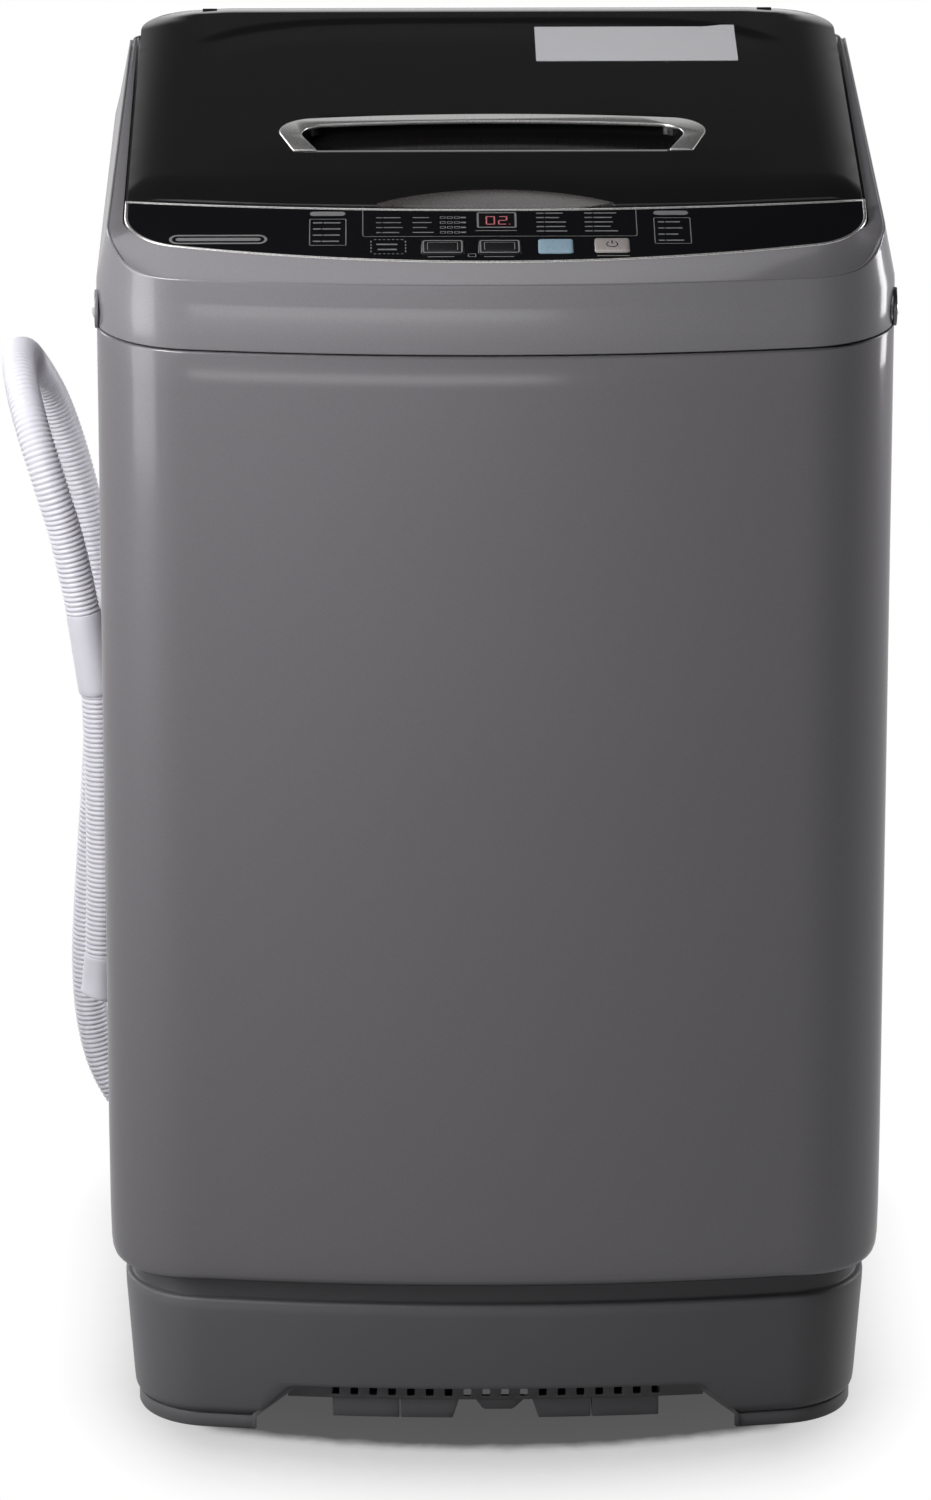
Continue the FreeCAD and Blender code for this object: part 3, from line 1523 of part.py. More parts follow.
def make_motor_housing():
    body = new_body("motor_housing")
    bore = s.motor_shaft_radius + s.running_fit
    step = (s.plate_level - s.motor_bottom) / 4
    revolve(body, [[
        (bore, s.motor_bottom), (s.motor_radius * 0.6, s.motor_bottom),
        (s.motor_radius, s.motor_bottom + step), (s.motor_radius, s.plate_level - step),
        (s.motor_radius * 0.8, s.plate_level), (0, s.plate_level),
        (0, s.motor_shaft_top + 2), (bore, s.motor_shaft_top + 2)]])
    return piece(place(body, 0, s.motor_y, 0), "motor_housing")


def belt_loop(extra):
    """Closed path round both pulleys at a distance from their grooves."""
    large = s.pulley_radius + extra
    small = s.motor_pulley_radius + extra
    lean = (s.pulley_radius - s.motor_pulley_radius) / s.motor_y
    upright = root(1 - lean * lean)
    return [
        (large * upright, large * lean, large, "major"), (small * upright, s.motor_y + small * lean),
        (-small * upright, s.motor_y + small * lean, small), (-large * upright, large * lean)]


def make_drive_belt():
    body = new_body("drive_belt")
    bottom = s.pulley_level + (s.pulley_width - s.belt_width) / 2
    outer = belt_loop(s.part_gap + s.belt_thick)
    inner = belt_loop(s.part_gap)
    pad(body, [outer, inner], bottom, s.belt_width)
    return piece(body, "drive_belt")


def make_motor_capacitor():
    """Run capacitor, fixed to the cabinet's left wall."""
    bottom = s.cabinet_bottom + s.capacitor_rise
    x = s.capacitor_radius + s.sheet_steel - s.body_width / 2
    can = cylinder(s.capacitor_radius, s.capacitor_height, x, -s.foot_y * 0.75, bottom)
    return piece(can, "motor_capacitor")


# ---------------------------------------------------------------- water in

def make_inlet_valve():
    """Solenoid valve whose threaded port stands out at the back."""
    inside = s.back_reach - s.plastic_wall
    x = s.inlet_x
    level = s.inlet_level
    half = s.valve_width / 2
    rise = s.valve_height / 2
    case = block((x - half, x + half), (inside - s.valve_depth, inside), (level - rise, level + rise))
    thread = cylinder(s.inlet_thread, s.inlet_reach - inside, x, inside, level, "y")
    collar = cylinder(s.inlet_flange, s.inlet_flange_thick, x, s.back_reach, level, "y")
    bore = cylinder(s.inlet_bore, s.inlet_reach - inside + s.valve_depth / 2, x,
                    inside - s.valve_depth / 2, level, "y")
    return piece(subtract(fuse([case, thread, collar]), [bore]), "inlet_valve")


def make_inlet_duct():
    """Box that leads the water from the valve to a nozzle over the drum."""
    rear = s.back_reach - s.plastic_wall - s.valve_depth
    x = s.inlet_x
    half = s.valve_width / 2
    rise = s.valve_height / 2
    level = s.inlet_level
    wall = s.plastic_wall
    outer = block((x - half, x + half), (s.duct_front, rear), (level - rise, level + rise / 2))
    inner = block((x - half + wall, x + half - wall), (s.duct_front + wall, rear - wall),
                  (level - rise + wall, level + rise / 2 - wall))
    low = level - s.nozzle_drop
    nozzle = cylinder(s.nozzle_radius, s.duct_front - s.nozzle_reach, x, s.nozzle_reach, low, "y")
    way = cylinder(s.nozzle_radius - wall, s.duct_front - s.nozzle_reach + wall, x, s.nozzle_reach,
                   low, "y")
    return piece(subtract(fuse([outer, nozzle]), [inner, way]), "inlet_duct")


# ---------------------------------------------------------------- water out

def make_drain_valve_body():
    """Drain valve under the sump: a level chamber with a way in above and a way out below."""
    left = s.valve_left
    right = s.valve_right
    x = s.drain_x
    y = s.drain_y
    level = s.drain_axis
    chamber = cylinder(s.valve_radius, right - left, left, y, level, "x")
    neck = cylinder(s.valve_bore, s.valve_radius, x, y, level)
    spout = cylinder(s.pipe_radius, level - s.bellows_top, x, y, s.bellows_top)
    room = cylinder(s.valve_bore, right - left - 8, left + 4, y, level, "x")
    way_in = cylinder(s.valve_bore - 3, s.valve_radius, x, y, level)
    way_out = cylinder(s.pipe_bore, level - s.bellows_top, x, y, s.bellows_top)
    guide = cylinder(s.stem_radius + s.running_fit, right - x, x, y, level, "x")
    side, start = overflow_port()
    port = cylinder(s.overflow_radius, s.valve_radius, side, start, level, "y")
    ways = [room, way_in, way_out, guide, port]
    return piece(subtract(fuse([chamber, neck, spout]), ways), "drain_valve_body")


def overflow_port():
    """Where the overflow hose enters the drain valve: its X, and the Y of its end."""
    return s.valve_left + s.overflow_radius + 2, s.drain_y + s.valve_radius - 4


def make_drain_valve_stem():
    """Stopper and pull rod, drawn towards the actuator to open the drain."""
    x = s.drain_x - s.valve_bore + 4
    rod_end = s.actuator_left + 6
    disc = cylinder(s.stem_disc_radius, 5, x, s.drain_y, s.drain_axis, "x")
    rod = cylinder(s.stem_radius, rod_end - x, x, s.drain_y, s.drain_axis, "x")
    return piece(fuse([disc, rod]), "drain_valve_stem")


def make_drain_actuator():
    """Traction motor that pulls the valve's stem."""
    top = s.plate_level
    half = s.actuator_half
    case = block((s.actuator_left, s.actuator_right), (s.drain_y - half, s.drain_y + half),
                 (top - s.actuator_height, top))
    bore = cylinder(s.stem_radius + s.part_gap, s.stem_travel + 8, s.actuator_left, s.drain_y,
                    s.drain_axis, "x")
    return piece(subtract(case, [bore]), "drain_actuator")


def make_drain_bellows():
    """Rubber bellows between the hanging tub and the fixed pipe, as a plain sleeve."""
    wall = s.pipe_radius + 2
    item = ring("drain_bellows", s.pipe_bore, wall, s.bellows_bottom, s.bellows_top, s.drain_x, s.drain_y)
    return piece(item, "drain_bellows")


def make_drain_pipe():
    """Elbowed pipe from the bellows to a spigot behind the base."""
    x = s.drain_x
    y = s.drain_y
    low = s.drain_level
    down = cylinder(s.pipe_radius, s.bellows_bottom - low, x, y, low)
    out = cylinder(s.pipe_radius, s.drain_reach - y, x, y, low, "y")
    heel = doc.addObject("Part::Sphere", "Sphere")
    bind(heel, "Radius", s.pipe_radius)
    place(heel, x, y, low)
    way_down = cylinder(s.pipe_bore, s.bellows_bottom - low, x, y, low)
    way_out = cylinder(s.pipe_bore, s.drain_reach - y, x, y, low, "y")
    return piece(subtract(fuse([down, out, heel]), [way_down, way_out]), "drain_pipe")


# ---------------------------------------------------------------- tubes along a path

def vectors(points):
    return [FreeCAD.Vector(*point) for point in points]


def rounded_path(points, bend=None):
    """Straight runs joined by tangent arcs, each as large as its two runs allow."""
    edges = []
    radii = []
    start = points[0]
    for before, corner, after in zip(points, points[1:], points[2:]):
        into = (corner - before).normalize()
        away = (after - corner).normalize()
        half_turn = into.getAngle(away) / 2
        shorter = min((corner - before).Length, (after - corner).Length)
        reach = 0.45 * shorter
        if bend is not None:
            reach = bend * math.tan(half_turn)
        radii.append(reach / math.tan(half_turn))
        first = corner - into * reach
        last = corner + away * reach
        towards = (away - into).normalize()
        middle = corner + towards * (radii[-1] / math.cos(half_turn) - radii[-1])
        edges.append(Part.LineSegment(start, first).toShape())
        edges.append(Part.Arc(first, middle, last).toShape())
        start = last
    edges.append(Part.LineSegment(start, points[-1]).toShape())
    return Part.Wire(edges), radii


def swept(name, points, radius, bend=None):
    """A round tube's outer solid along a rounded path, checked against section times length."""
    path, radii = rounded_path(points, bend)
    direction = (points[1] - points[0]).normalize()
    section = Part.Wire(Part.makeCircle(radius, points[0], direction))
    shape = path.makePipeShell([section], True, False)
    expected = math.pi * radius * radius * path.Length
    if abs(shape.Volume - expected) > 0.01 * expected:
        raise RuntimeError(f"{name}: volume {shape.Volume:.0f} is not section times length {expected:.0f}")
    print(f"{name}: {path.Length:.0f} mm long, arc radii {[round(r) for r in radii]}")
    return shape


def tube_piece(name, shape):
    item = doc.addObject("Part::Feature", name)
    item.Shape = shape
    return piece(item, name)


def make_overflow_hose():
    """Hose down the tub's wall, from near its top to the drain valve."""
    run = math.hypot(s.drain_x.value, s.drain_y.value)
    away = (s.tub_radius.value + s.tub_wall.value + s.overflow_radius.value + 3) / run
    wall = (s.tub_radius.value + s.tub_wall.value) / run
    x, y = s.drain_x.value, s.drain_y.value
    top = s.overflow_level.value
    level = s.drain_axis.value
    side, end = (size.value for size in overflow_port())
    points = vectors([
        (x * wall, y * wall, top), (x * away, y * away, top), (x * away, y * away, level),
        (side, y * away, level), (side, end, level)])
    bend = s.overflow_radius.value * 1.1
    return tube_piece("overflow_hose", swept("overflow_hose", points, s.overflow_radius.value, bend))


def hose_points(points):
    """A drawn route as vectors, moved back with the elbow that the hose starts from."""
    back = s.elbow_reach.value - HOSE_ROUTE[0][1]
    return vectors([(x, y + back, z) for x, y, z in points])


HOSES = {}


def make_drain_hose():
    HOSES["drain"] = swept("drain_hose", hose_points(HOSE_ROUTE), s.hose_radius.value)
    return tube_piece("drain_hose", HOSES["drain"])


def make_extension_hose():
    HOSES["extension"] = swept("extension_hose", hose_points(EXTENSION_ROUTE), s.extension_radius.value)
    return tube_piece("extension_hose", HOSES["extension"])


def make_drain_elbow():
    """Rubber elbow on the spigot, turning down and outwards: the hose leaves from its mouth."""
    x = s.drain_x
    level = s.drain_level
    radius = s.elbow_radius
    collar = cylinder(radius, s.elbow_reach - s.drain_reach, x, s.drain_reach, level, "y")
    heel = doc.addObject("Part::Sphere", "Sphere")
    bind(heel, "Radius", radius)
    place(heel, x, s.elbow_reach, level)
    mouth = cylinder(radius, s.elbow_length, x, s.elbow_reach, level)
    turn(mouth, -120, (0, 1, 0))
    return piece(fuse([collar, heel, mouth]), "drain_elbow")


def make_hose_cuff():
    """Smooth cuff at the end of the drain hose, widening towards its mouth."""
    start, end = hose_points([HOSE_ROUTE[-1], EXTENSION_ROUTE[0]])
    axis = end - start
    cone = Part.makeCone(s.hose_radius.value + 0.6, s.cuff_radius.value, axis.Length, start, axis)
    return tube_piece("hose_cuff", cone.cut(HOSES["drain"]).cut(HOSES["extension"]))


def make_extension_cuff():
    """Open cuff at the end of the extension hose."""
    start, end = hose_points([EXTENSION_ROUTE[-1], MOUTH_END])
    axis = end - start
    radius = s.extension_radius.value
    mouth = s.mouth_radius.value
    outer = Part.makeCone(radius + 0.5, mouth, axis.Length, start, axis)
    inner = Part.makeCone(radius - 2, mouth - 1.6, axis.Length * 0.7, start + axis * 0.3, axis)
    return tube_piece("extension_cuff", outer.cut(inner).cut(HOSES["extension"]))


def make_hose_clip():
    """Clip on the cabinet's back that holds the rising hose."""
    points = hose_points(HOSE_ROUTE)
    level = s.clip_level.value
    low, high = next((a, b) for a, b in zip(points, points[1:]) if a.z <= level < b.z)
    middle = low + (high - low) * ((level - low.z) / (high.z - low.z))
    x, y = middle.x, middle.y
    inner = s.hose_radius + s.clip_gap
    outer = inner + s.clip_wall
    bottom = s.clip_level - s.clip_height / 2
    band = cylinder(outer, s.clip_height, x, y, bottom)
    way = cylinder(inner, s.clip_height, x, y, bottom)
    back = s.back_reach
    arm = block((x + s.hose_radius, -s.back_opening_width / 2 - s.back_overlap - 1), (back, back + 6),
                (bottom, bottom + s.clip_height))
    bridge = block((x, x + s.hose_radius + 8), (back + 1, y - s.hose_radius),
                   (bottom, bottom + s.clip_height))
    return piece(subtract(fuse([band, arm, bridge]), [way]), "hose_clip")


# ---------------------------------------------------------------- small things

def make_power_gland():
    """Bush where the mains lead passes the cabinet's back."""
    start = s.back_reach
    flange = cylinder(s.gland_radius, s.gland_reach - start, s.gland_x, start, s.gland_level, "y")
    bore = cylinder(s.gland_bore, s.gland_reach - start, s.gland_x, start, s.gland_level, "y")
    return piece(subtract(flange, [bore]), "power_gland")


def make_level_sensor():
    """Water level sensor on the cabinet's left wall."""
    inside = s.sheet_steel - s.body_width / 2
    half = s.sensor_size
    case = block((inside, inside + s.sensor_size), (s.drain_y - half, s.drain_y + half),
                 (s.sensor_level, s.sensor_level + s.sensor_size))
    nipple = cylinder(3, 12, inside + s.sensor_size / 2, s.drain_y, s.sensor_level - 12)
    return piece(fuse([case, nipple]), "level_sensor")


def build():
    make_cabinet_shell()
    make_back_panel()
    make_case_screws()
    make_base_plinth()
    make_base_vent_grille()
    make_front_foot("foot_front_left", -1)
    make_front_foot("foot_front_right", 1)
    make_rear_feet()
    make_top_frame()
    make_panel_fascia()
    make_panel_trim()
    make_display_window()
    make_control_board()
    make_keys()
    make_lid_cover()
    make_lid_liner()
    make_lid_handle_trim()
    make_lid_hinge_pins()
    make_outer_tub()
    make_tub_cover()
    make_suspension_brackets()
    make_suspension_seats()
    make_suspension_rods()
    make_suspension_springs()
    make_inner_drum()
    make_balance_ring()
    make_drum_flange()
    make_spin_tube()
    make_lint_filter()
    make_pulsator()
    make_wash_shaft()
    make_pulsator_screw()
    make_mounting_plate()
    make_clutch_housing()
    make_shaft_bearings()
    make_shaft_seal()
    make_clutch_pulley()
    make_motor_rotor()
    make_motor_housing()
    make_drive_belt()
    make_motor_capacitor()
    make_inlet_valve()
    make_inlet_duct()
    make_drain_valve_body()
    make_drain_valve_stem()
    make_drain_actuator()
    make_drain_bellows()
    make_drain_pipe()
    make_overflow_hose()
    make_drain_elbow()
    make_drain_hose()
    make_extension_hose()
    make_hose_cuff()
    make_extension_cuff()
    make_hose_clip()
    make_power_gland()
    make_level_sensor()
    doc.recompute()


def check():
    """Stop if any object failed, or a sub-part is empty or not valid."""
    faults = [f"{item.Name} ({item.Label}): {item.State}" for item in doc.Objects
              if "Invalid" in item.State or "Error" in item.State]
    faults += [f"{item.Label} has no valid solid" for item in PIECES
               if item.Shape.isNull() or not item.Shape.isValid() or not item.Shape.Solids]
    if faults:
        raise RuntimeError("; ".join(faults))


def export():
    os.makedirs("parts", exist_ok=True)
    for item in PIECES:
        item.Shape.exportStep(f"parts/{item.Label}.step")
        print(f"{item.Label}: {len(item.Shape.Solids)} solid(s), {item.Shape.Volume / 1000:.1f} cm3")


build()
check()
export()
print(f"{len(PIECES)} sub-parts")
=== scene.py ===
"""Compact top-load washing machine: its visible pieces, their finishes and a plain studio.

Shapes are worked out in millimetres in the machine's own frame: +Z up, -Y towards the user,
the origin on the floor under the middle of the machine. Meshes are made in metres.
"""

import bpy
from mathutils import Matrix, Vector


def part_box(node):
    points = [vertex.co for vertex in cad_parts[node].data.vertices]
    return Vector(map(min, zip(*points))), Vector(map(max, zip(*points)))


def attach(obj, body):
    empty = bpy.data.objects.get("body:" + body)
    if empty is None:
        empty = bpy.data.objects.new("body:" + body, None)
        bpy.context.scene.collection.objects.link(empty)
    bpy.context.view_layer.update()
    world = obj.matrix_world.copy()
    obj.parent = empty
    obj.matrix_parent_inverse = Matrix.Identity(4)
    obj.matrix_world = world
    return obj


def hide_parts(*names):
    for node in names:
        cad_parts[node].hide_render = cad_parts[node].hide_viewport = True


bl_info = {
    "name": "Compact Top-Load Washing Machine",
    "version": (1, 0, 0),
    "blender": (4, 5, 0),
    "location": "3D View > Sidebar > Washing Machine",
    "description": "Builds the pieces, finishes and studio of a compact top-load washing machine",
    "category": "Add Mesh",
}

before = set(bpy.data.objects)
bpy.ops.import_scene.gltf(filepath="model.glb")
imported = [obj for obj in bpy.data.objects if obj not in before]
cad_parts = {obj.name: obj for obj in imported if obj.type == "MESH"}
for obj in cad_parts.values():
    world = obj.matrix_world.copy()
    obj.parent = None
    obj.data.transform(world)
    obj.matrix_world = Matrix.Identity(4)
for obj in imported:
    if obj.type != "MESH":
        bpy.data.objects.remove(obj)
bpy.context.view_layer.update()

import math

import bmesh
import bpy
from mathutils import Vector

MM = 0.001


# ---------------------------------------------------------------- sizes and colours

def length(name, description, default):
    """A size in metres."""
    return bpy.props.FloatProperty(name=name, description=description, default=default, unit="LENGTH",
                                   precision=4)


def angle(name, description, default):
    """An angle, given in degrees."""
    return bpy.props.FloatProperty(name=name, description=description, default=math.radians(default),
                                   subtype="ANGLE")


def colour(name, description, default):
    """A colour as red, green and blue from 0 to 1."""
    return bpy.props.FloatVectorProperty(name=name, description=description, default=default, size=3,
                                         subtype="COLOR", min=0, max=1)


class WashingMachineSizes(bpy.types.PropertyGroup):
    """Driving sizes of the machine."""

    body_width: length("Body width", "Outside width of the cabinet", 0.520)
    front_reach: length("Front reach", "From the middle to the crown of the bowed front", 0.265)
    back_reach: length("Back reach", "From the middle to the flat back", 0.250)
    bow_radius: length("Front bow", "Radius of the bowed front", 1.300)
    front_corner: length("Front corners", "Radius of the two front corners", 0.070)
    rear_corner: length("Rear corners", "Radius of the two rear corners", 0.012)
    seam_height: length("Seam height", "Height where the cabinet meets the top frame", 0.764)
    cabinet_bottom: length("Cabinet bottom", "Height of the cabinet's lower edge", 0.112)
    base_step: length("Base ledge", "Height of the ledge round the base", 0.099)
    arch_height: length("Arch height", "Height of the arch in the base's front", 0.037)
    opening_radius: length("Fill opening", "Radius of the opening over the drum", 0.160)
    panel_level: length("Panel height", "Height of the control panel's front edge", 0.820)
    panel_slope: angle("Panel slope", "Slope of the control panel", 13.5)
    lid_level: length("Lid height", "Height of the lid's front edge", 0.8403)
    lid_slope: angle("Lid slope", "Slope of the closed lid", 4.26)
    lid_length: length("Lid length", "Length of the lid, front to back", 0.419)
    lid_half: length("Lid half width", "Half of the lid's width", 0.240)
    hose_diameter: length("Hose diameter", "Outside diameter of the corrugated drain hose", 0.024)
    extension_diameter: length("Extension diameter", "Outside diameter of the extension hose", 0.0224)
    rib_pitch: length("Hose rib pitch", "Distance from rib to rib on the hoses", 0.0036)


class WashingMachineColours(bpy.types.PropertyGroup):
    """Colours of the machine's finishes."""

    cabinet: colour("Cabinet", "Metallic grey paint", (0.146, 0.139, 0.149))
    top_frame: colour("Top frame", "Silver grey moulding", (0.190, 0.184, 0.195))
    base: colour("Base", "Dark grey moulding", (0.118, 0.117, 0.125))
    gloss_black: colour("Lid", "Piano black", (0.0065, 0.0058, 0.0061))
    panel_black: colour("Control panel", "Deep black", (0.0040, 0.0040, 0.0050))
    trim: colour("Trim", "Satin silver", (0.560, 0.550, 0.545))
    start_key: colour("Start key", "Pale blue", (0.205, 0.295, 0.370))
    power_key: colour("Power key", "Warm silver", (0.330, 0.300, 0.290))
    print: colour("Panel print", "Grey print on the control panel", (0.130, 0.130, 0.133))
    digits: colour("Digits", "Red light of the display", (0.330, 0.085, 0.100))
    hose: colour("Hose", "Pale hose plastic", (0.700, 0.690, 0.750))
    floor: colour("Floor", "Studio floor", (0.960, 0.960, 0.960))


def mm(name):
    """One driving size in millimetres."""
    return getattr(bpy.context.scene.washing_machine_sizes, name) / MM


def tint(name):
    """One of the machine's colours."""
    return tuple(getattr(bpy.context.scene.washing_machine_colours, name))


# ---------------------------------------------------------------- outlines

FRONT_STEPS = 20
CORNER_STEPS = 16
REAR_CORNER_STEPS = 8
REAR_STEPS = 8
SHARPEST_REAR = 2
SIDE_STATIONS = [0, .03, .07, .11, .16, .22, .29, .37, .46, .55, .64, .72, .79, .85, .89, .92, .94, .955,
                 .97, .985, 1]

# fronts of the control panel and the lid, from the machine's middle, and the panel's bow and corners
PANEL_FRONT = 241
PANEL_BOW = 1000
PANEL_CORNER = 42
LID_FRONT = 170


def arc(centre_x, centre_y, radius, start, end, steps):
    """Points on an arc between two angles in degrees, both ends included."""
    turn = math.radians(end - start) / steps
    first = math.radians(start)
    angles = [first + turn * i for i in range(steps + 1)]
    return [(centre_x + radius * math.cos(a), centre_y + radius * math.sin(a)) for a in angles]


def between(first, last, stations):
    """Points on a straight run at the given fractions of its length."""
    return [(first[0] + (last[0] - first[0]) * t, first[1] + (last[1] - first[1]) * t) for t in stations]


def even(steps):
    """Fractions from 0 to 1 in even steps."""
    return [i / steps for i in range(steps + 1)]


def chain(*runs):
    """Runs of points joined end to end, each shared end kept once."""
    line = list(runs[0])
    for run in runs[1:]:
        line += run[1:]
    return line


def both_sides(half):
    """A closed loop from its right half, which runs from the front's middle to the back's middle."""
    return list(half) + [(-p[0], *p[1:]) for p in reversed(half[1:-1])]


def bowed_front(half, bow_y, bow, corner, bow_steps, corner_steps):
    """Right half of a bowed front with its corner, which ends where the straight side begins."""
    corner_x = half - corner
    corner_y = bow_y - math.sqrt((bow - corner) ** 2 - corner_x ** 2)
    lean = math.degrees(math.asin(corner_x / (bow - corner)))
    return chain(arc(0, bow_y, bow, -90, -90 + lean, bow_steps),
                 arc(corner_x, corner_y, corner, -90 + lean, 0, corner_steps))


def bowed_half(half, reach, back, bow, corner, rear_corner):
    """Right half of a plan with a bowed front and rounded corners."""
    front = bowed_front(half, bow - reach, bow, corner, FRONT_STEPS, CORNER_STEPS)
    return chain(
        front,
        between((half, front[-1][1]), (half, back - rear_corner), SIDE_STATIONS),
        arc(half - rear_corner, back - rear_corner, rear_corner, 0, 90, REAR_CORNER_STEPS),
        between((half - rear_corner, back), (0, back), even(REAR_STEPS)))


def plan_half(inset):
    """Right half of the machine's outline, moved inwards."""
    return bowed_half(mm("body_width") / 2 - inset, mm("front_reach") - inset, mm("back_reach") - inset,
                      mm("bow_radius") - inset, mm("front_corner") - inset,
                      max(mm("rear_corner") - inset, SHARPEST_REAR))


def bow_through(half, rise):
    """Radius of the arc through both ends and the crown of a shallow bow."""
    return (half * half + rise * rise) / (rise * 2)


def smooth_step(t):
    """0 below 0, 1 above 1, and a soft change between."""
    t = min(max(t, 0), 1)
    return t * t * (3 - 2 * t)


def rounded_box(x, y, width, height, radius, steps=5):
    """A rectangle about a middle point with rounded corners, anticlockwise."""
    right = x + width / 2 - radius
    left = x - width / 2 + radius
    top = y + height / 2 - radius
    bottom = y - height / 2 + radius
    return (arc(right, bottom, radius, -90, 0, steps) + arc(right, top, radius, 0, 90, steps)
            + arc(left, top, radius, 90, 180, steps) + arc(left, bottom, radius, 180, 270, steps))


def tilted(level, reach, slope, x, y, z):
    """A point given in a plane that rises from the front, in the machine's frame."""
    return (x, y * math.cos(slope) - z * math.sin(slope) - reach,
            level + y * math.sin(slope) + z * math.cos(slope))


def on_panel(x, y, z):
    """A point of the control panel's plane, y from its front edge."""
    return tilted(mm("panel_level"), PANEL_FRONT, mm("panel_slope") * MM, x, y, z)


def on_lid(x, y, z):
    """A point of the closed lid's plane, y from its front edge."""
    return tilted(mm("lid_level"), LID_FRONT, mm("lid_slope") * MM, x, y, z)


def as_built(x, y, z):
    """A point already in the machine's frame."""
    return (x, y, z)


def upright(x, y, z):
    """An outline's x and height, with its thickness from front to back."""
    return (x, z, y)


def sideways(x, y, z):
    """An outline's depth and height, with its thickness from side to side."""
    return (z, x, y)


def panel_height(y):
    """Height of the control panel's plane."""
    return mm("panel_level") + (y + PANEL_FRONT) * math.tan(mm("panel_slope") * MM)


def lid_height(y):
    """Height of the closed lid's plane."""
    return mm("lid_level") + (y + LID_FRONT) * math.tan(mm("lid_slope") * MM)


# ---------------------------------------------------------------- meshes

def loft(rings, capped=False):
    """Points and faces of a skin over rings that all have the same number of points."""
    count = len(rings[0])
    faces = []
    for low in range(0, (len(rings) - 1) * count, count):
        for i in range(count):
            j = (i + 1) % count
            faces.append((low + i, low + j, low + count + j, low + count + i))
    if capped:
        faces.append(tuple(reversed(range(count))))
        faces.append(tuple(range((len(rings) - 1) * count, len(rings) * count)))
    return [p for ring in rings for p in ring], faces


def lathe(profile, steps, centre, along):
    """Points and faces of a turned shape; the profile is radius and distance along the axis."""
    rings = []
    for radius, distance in profile:
        ring = []
        for i in range(steps):
            turn = math.tau * i / steps
            a, b = radius * math.cos(turn), radius * math.sin(turn)
            spot = {"y": (b, distance, a), "x": (distance, a, b)}[along]
            ring.append(tuple(c + v for c, v in zip(centre, spot)))
        rings.append(ring)
    return loft(rings, True)


def put_in_scene(name, data):
    """An object of a mesh, a curve, a lamp or a camera, linked to the scene."""
    item = bpy.data.objects.new(name, data)
    bpy.context.scene.collection.objects.link(item)
    return item


def raw_piece(name, points, faces, place=as_built):
    """An object of a mesh given in millimetres, cleaned and with its faces turned outwards."""
    mesh = bpy.data.meshes.new(name)
    mesh.from_pydata([Vector(place(*p)) * MM for p in points], [], faces)
    bm = bmesh.new()
    bm.from_mesh(mesh)
    bmesh.ops.remove_doubles(bm, verts=bm.verts, dist=0.01 * MM)
    bmesh.ops.dissolve_degenerate(bm, edges=bm.edges, dist=0.005 * MM)
    bmesh.ops.recalc_face_normals(bm, faces=bm.faces)
    bm.to_mesh(mesh)
    bm.free()
    return put_in_scene(name, mesh)


def prism(name, loop, bottom, top, place=as_built, holes=()):
    """A solid plate with the given outline."""
    rings = [[(x, y, z) for x, y in loop] for z in (bottom, top)]
    item = raw_piece(name, *loft(rings, True), place)
    if holes:
        cut(item, [prism("tool", hole, bottom - 2, top + 2, place) for hole in holes])
    return item


def relief(name, loop, rows, columns, height, level, place):
    """A solid whose one face follows height(x, y) while the other lies at one level."""
    bm = bmesh.new()
    bm.faces.new([bm.verts.new((x, y, 0)) for x, y in loop])
    lines = [((0, y, 0), (0, 1, 0)) for y in rows] + [((x, 0, 0), (1, 0, 0)) for x in columns]
    for spot, across in lines:
        bmesh.ops.bisect_plane(bm, geom=bm.verts[:] + bm.edges[:] + bm.faces[:], dist=0.001,
                               plane_co=spot, plane_no=across)
    shaped = list(bm.verts)
    copied = bmesh.ops.duplicate(bm, geom=bm.verts[:] + bm.edges[:] + bm.faces[:])
    twins = copied["vert_map"]
    rims = [e for e in bm.edges if e.is_boundary and e.verts[0] in twins and e.verts[0] in shaped]
    for edge in rims:
        a, b = edge.verts
        if a in shaped and b in shaped:
            bm.faces.new((a, b, twins[b], twins[a]))
    for vert in shaped:
        twins[vert].co.z = level
        vert.co.z = height(vert.co.x, vert.co.y)
    bmesh.ops.recalc_face_normals(bm, faces=bm.faces)
    for vert in bm.verts:
        vert.co = Vector(place(*vert.co)) * MM
    mesh = bpy.data.meshes.new(name)
    bm.to_mesh(mesh)
    bm.free()
    return put_in_scene(name, mesh)


def apply_modifiers(item):
    """Bake an object's modifiers into its mesh."""
    seen = item.evaluated_get(bpy.context.evaluated_depsgraph_get())
    mesh = bpy.data.meshes.new_from_object(seen)
    item.modifiers.clear()
    old = item.data
    item.data = mesh
    bpy.data.meshes.remove(old)
    mesh.name = item.name


def join(items):
    """Several objects merged into the first."""
    merged = bmesh.new()
    for item in items:
        merged.from_mesh(item.data)
    merged.to_mesh(items[0].data)
    merged.free()
    for item in items[1:]:
        bpy.data.objects.remove(item)
    return items[0]


def cut(item, tools, operation="DIFFERENCE"):
    """Cut the tools out of an object, or keep only what lies in them."""
    tool = join(tools)
    modifier = item.modifiers.new("cut", "BOOLEAN")
    modifier.object = tool
    modifier.operation = operation
    modifier.solver = "EXACT"
    apply_modifiers(item)
    bpy.data.objects.remove(tool)


def soften(item, width, segments=2, limit=35):
    """Round an object's edges that are sharper than the limit in degrees."""
    modifier = item.modifiers.new("round", "BEVEL")
    modifier.width = width * MM
    modifier.segments = segments
    modifier.limit_method = "ANGLE"
    modifier.angle_limit = math.radians(limit)
    modifier.harden_normals = False
    modifier.use_clamp_overlap = True
    apply_modifiers(item)


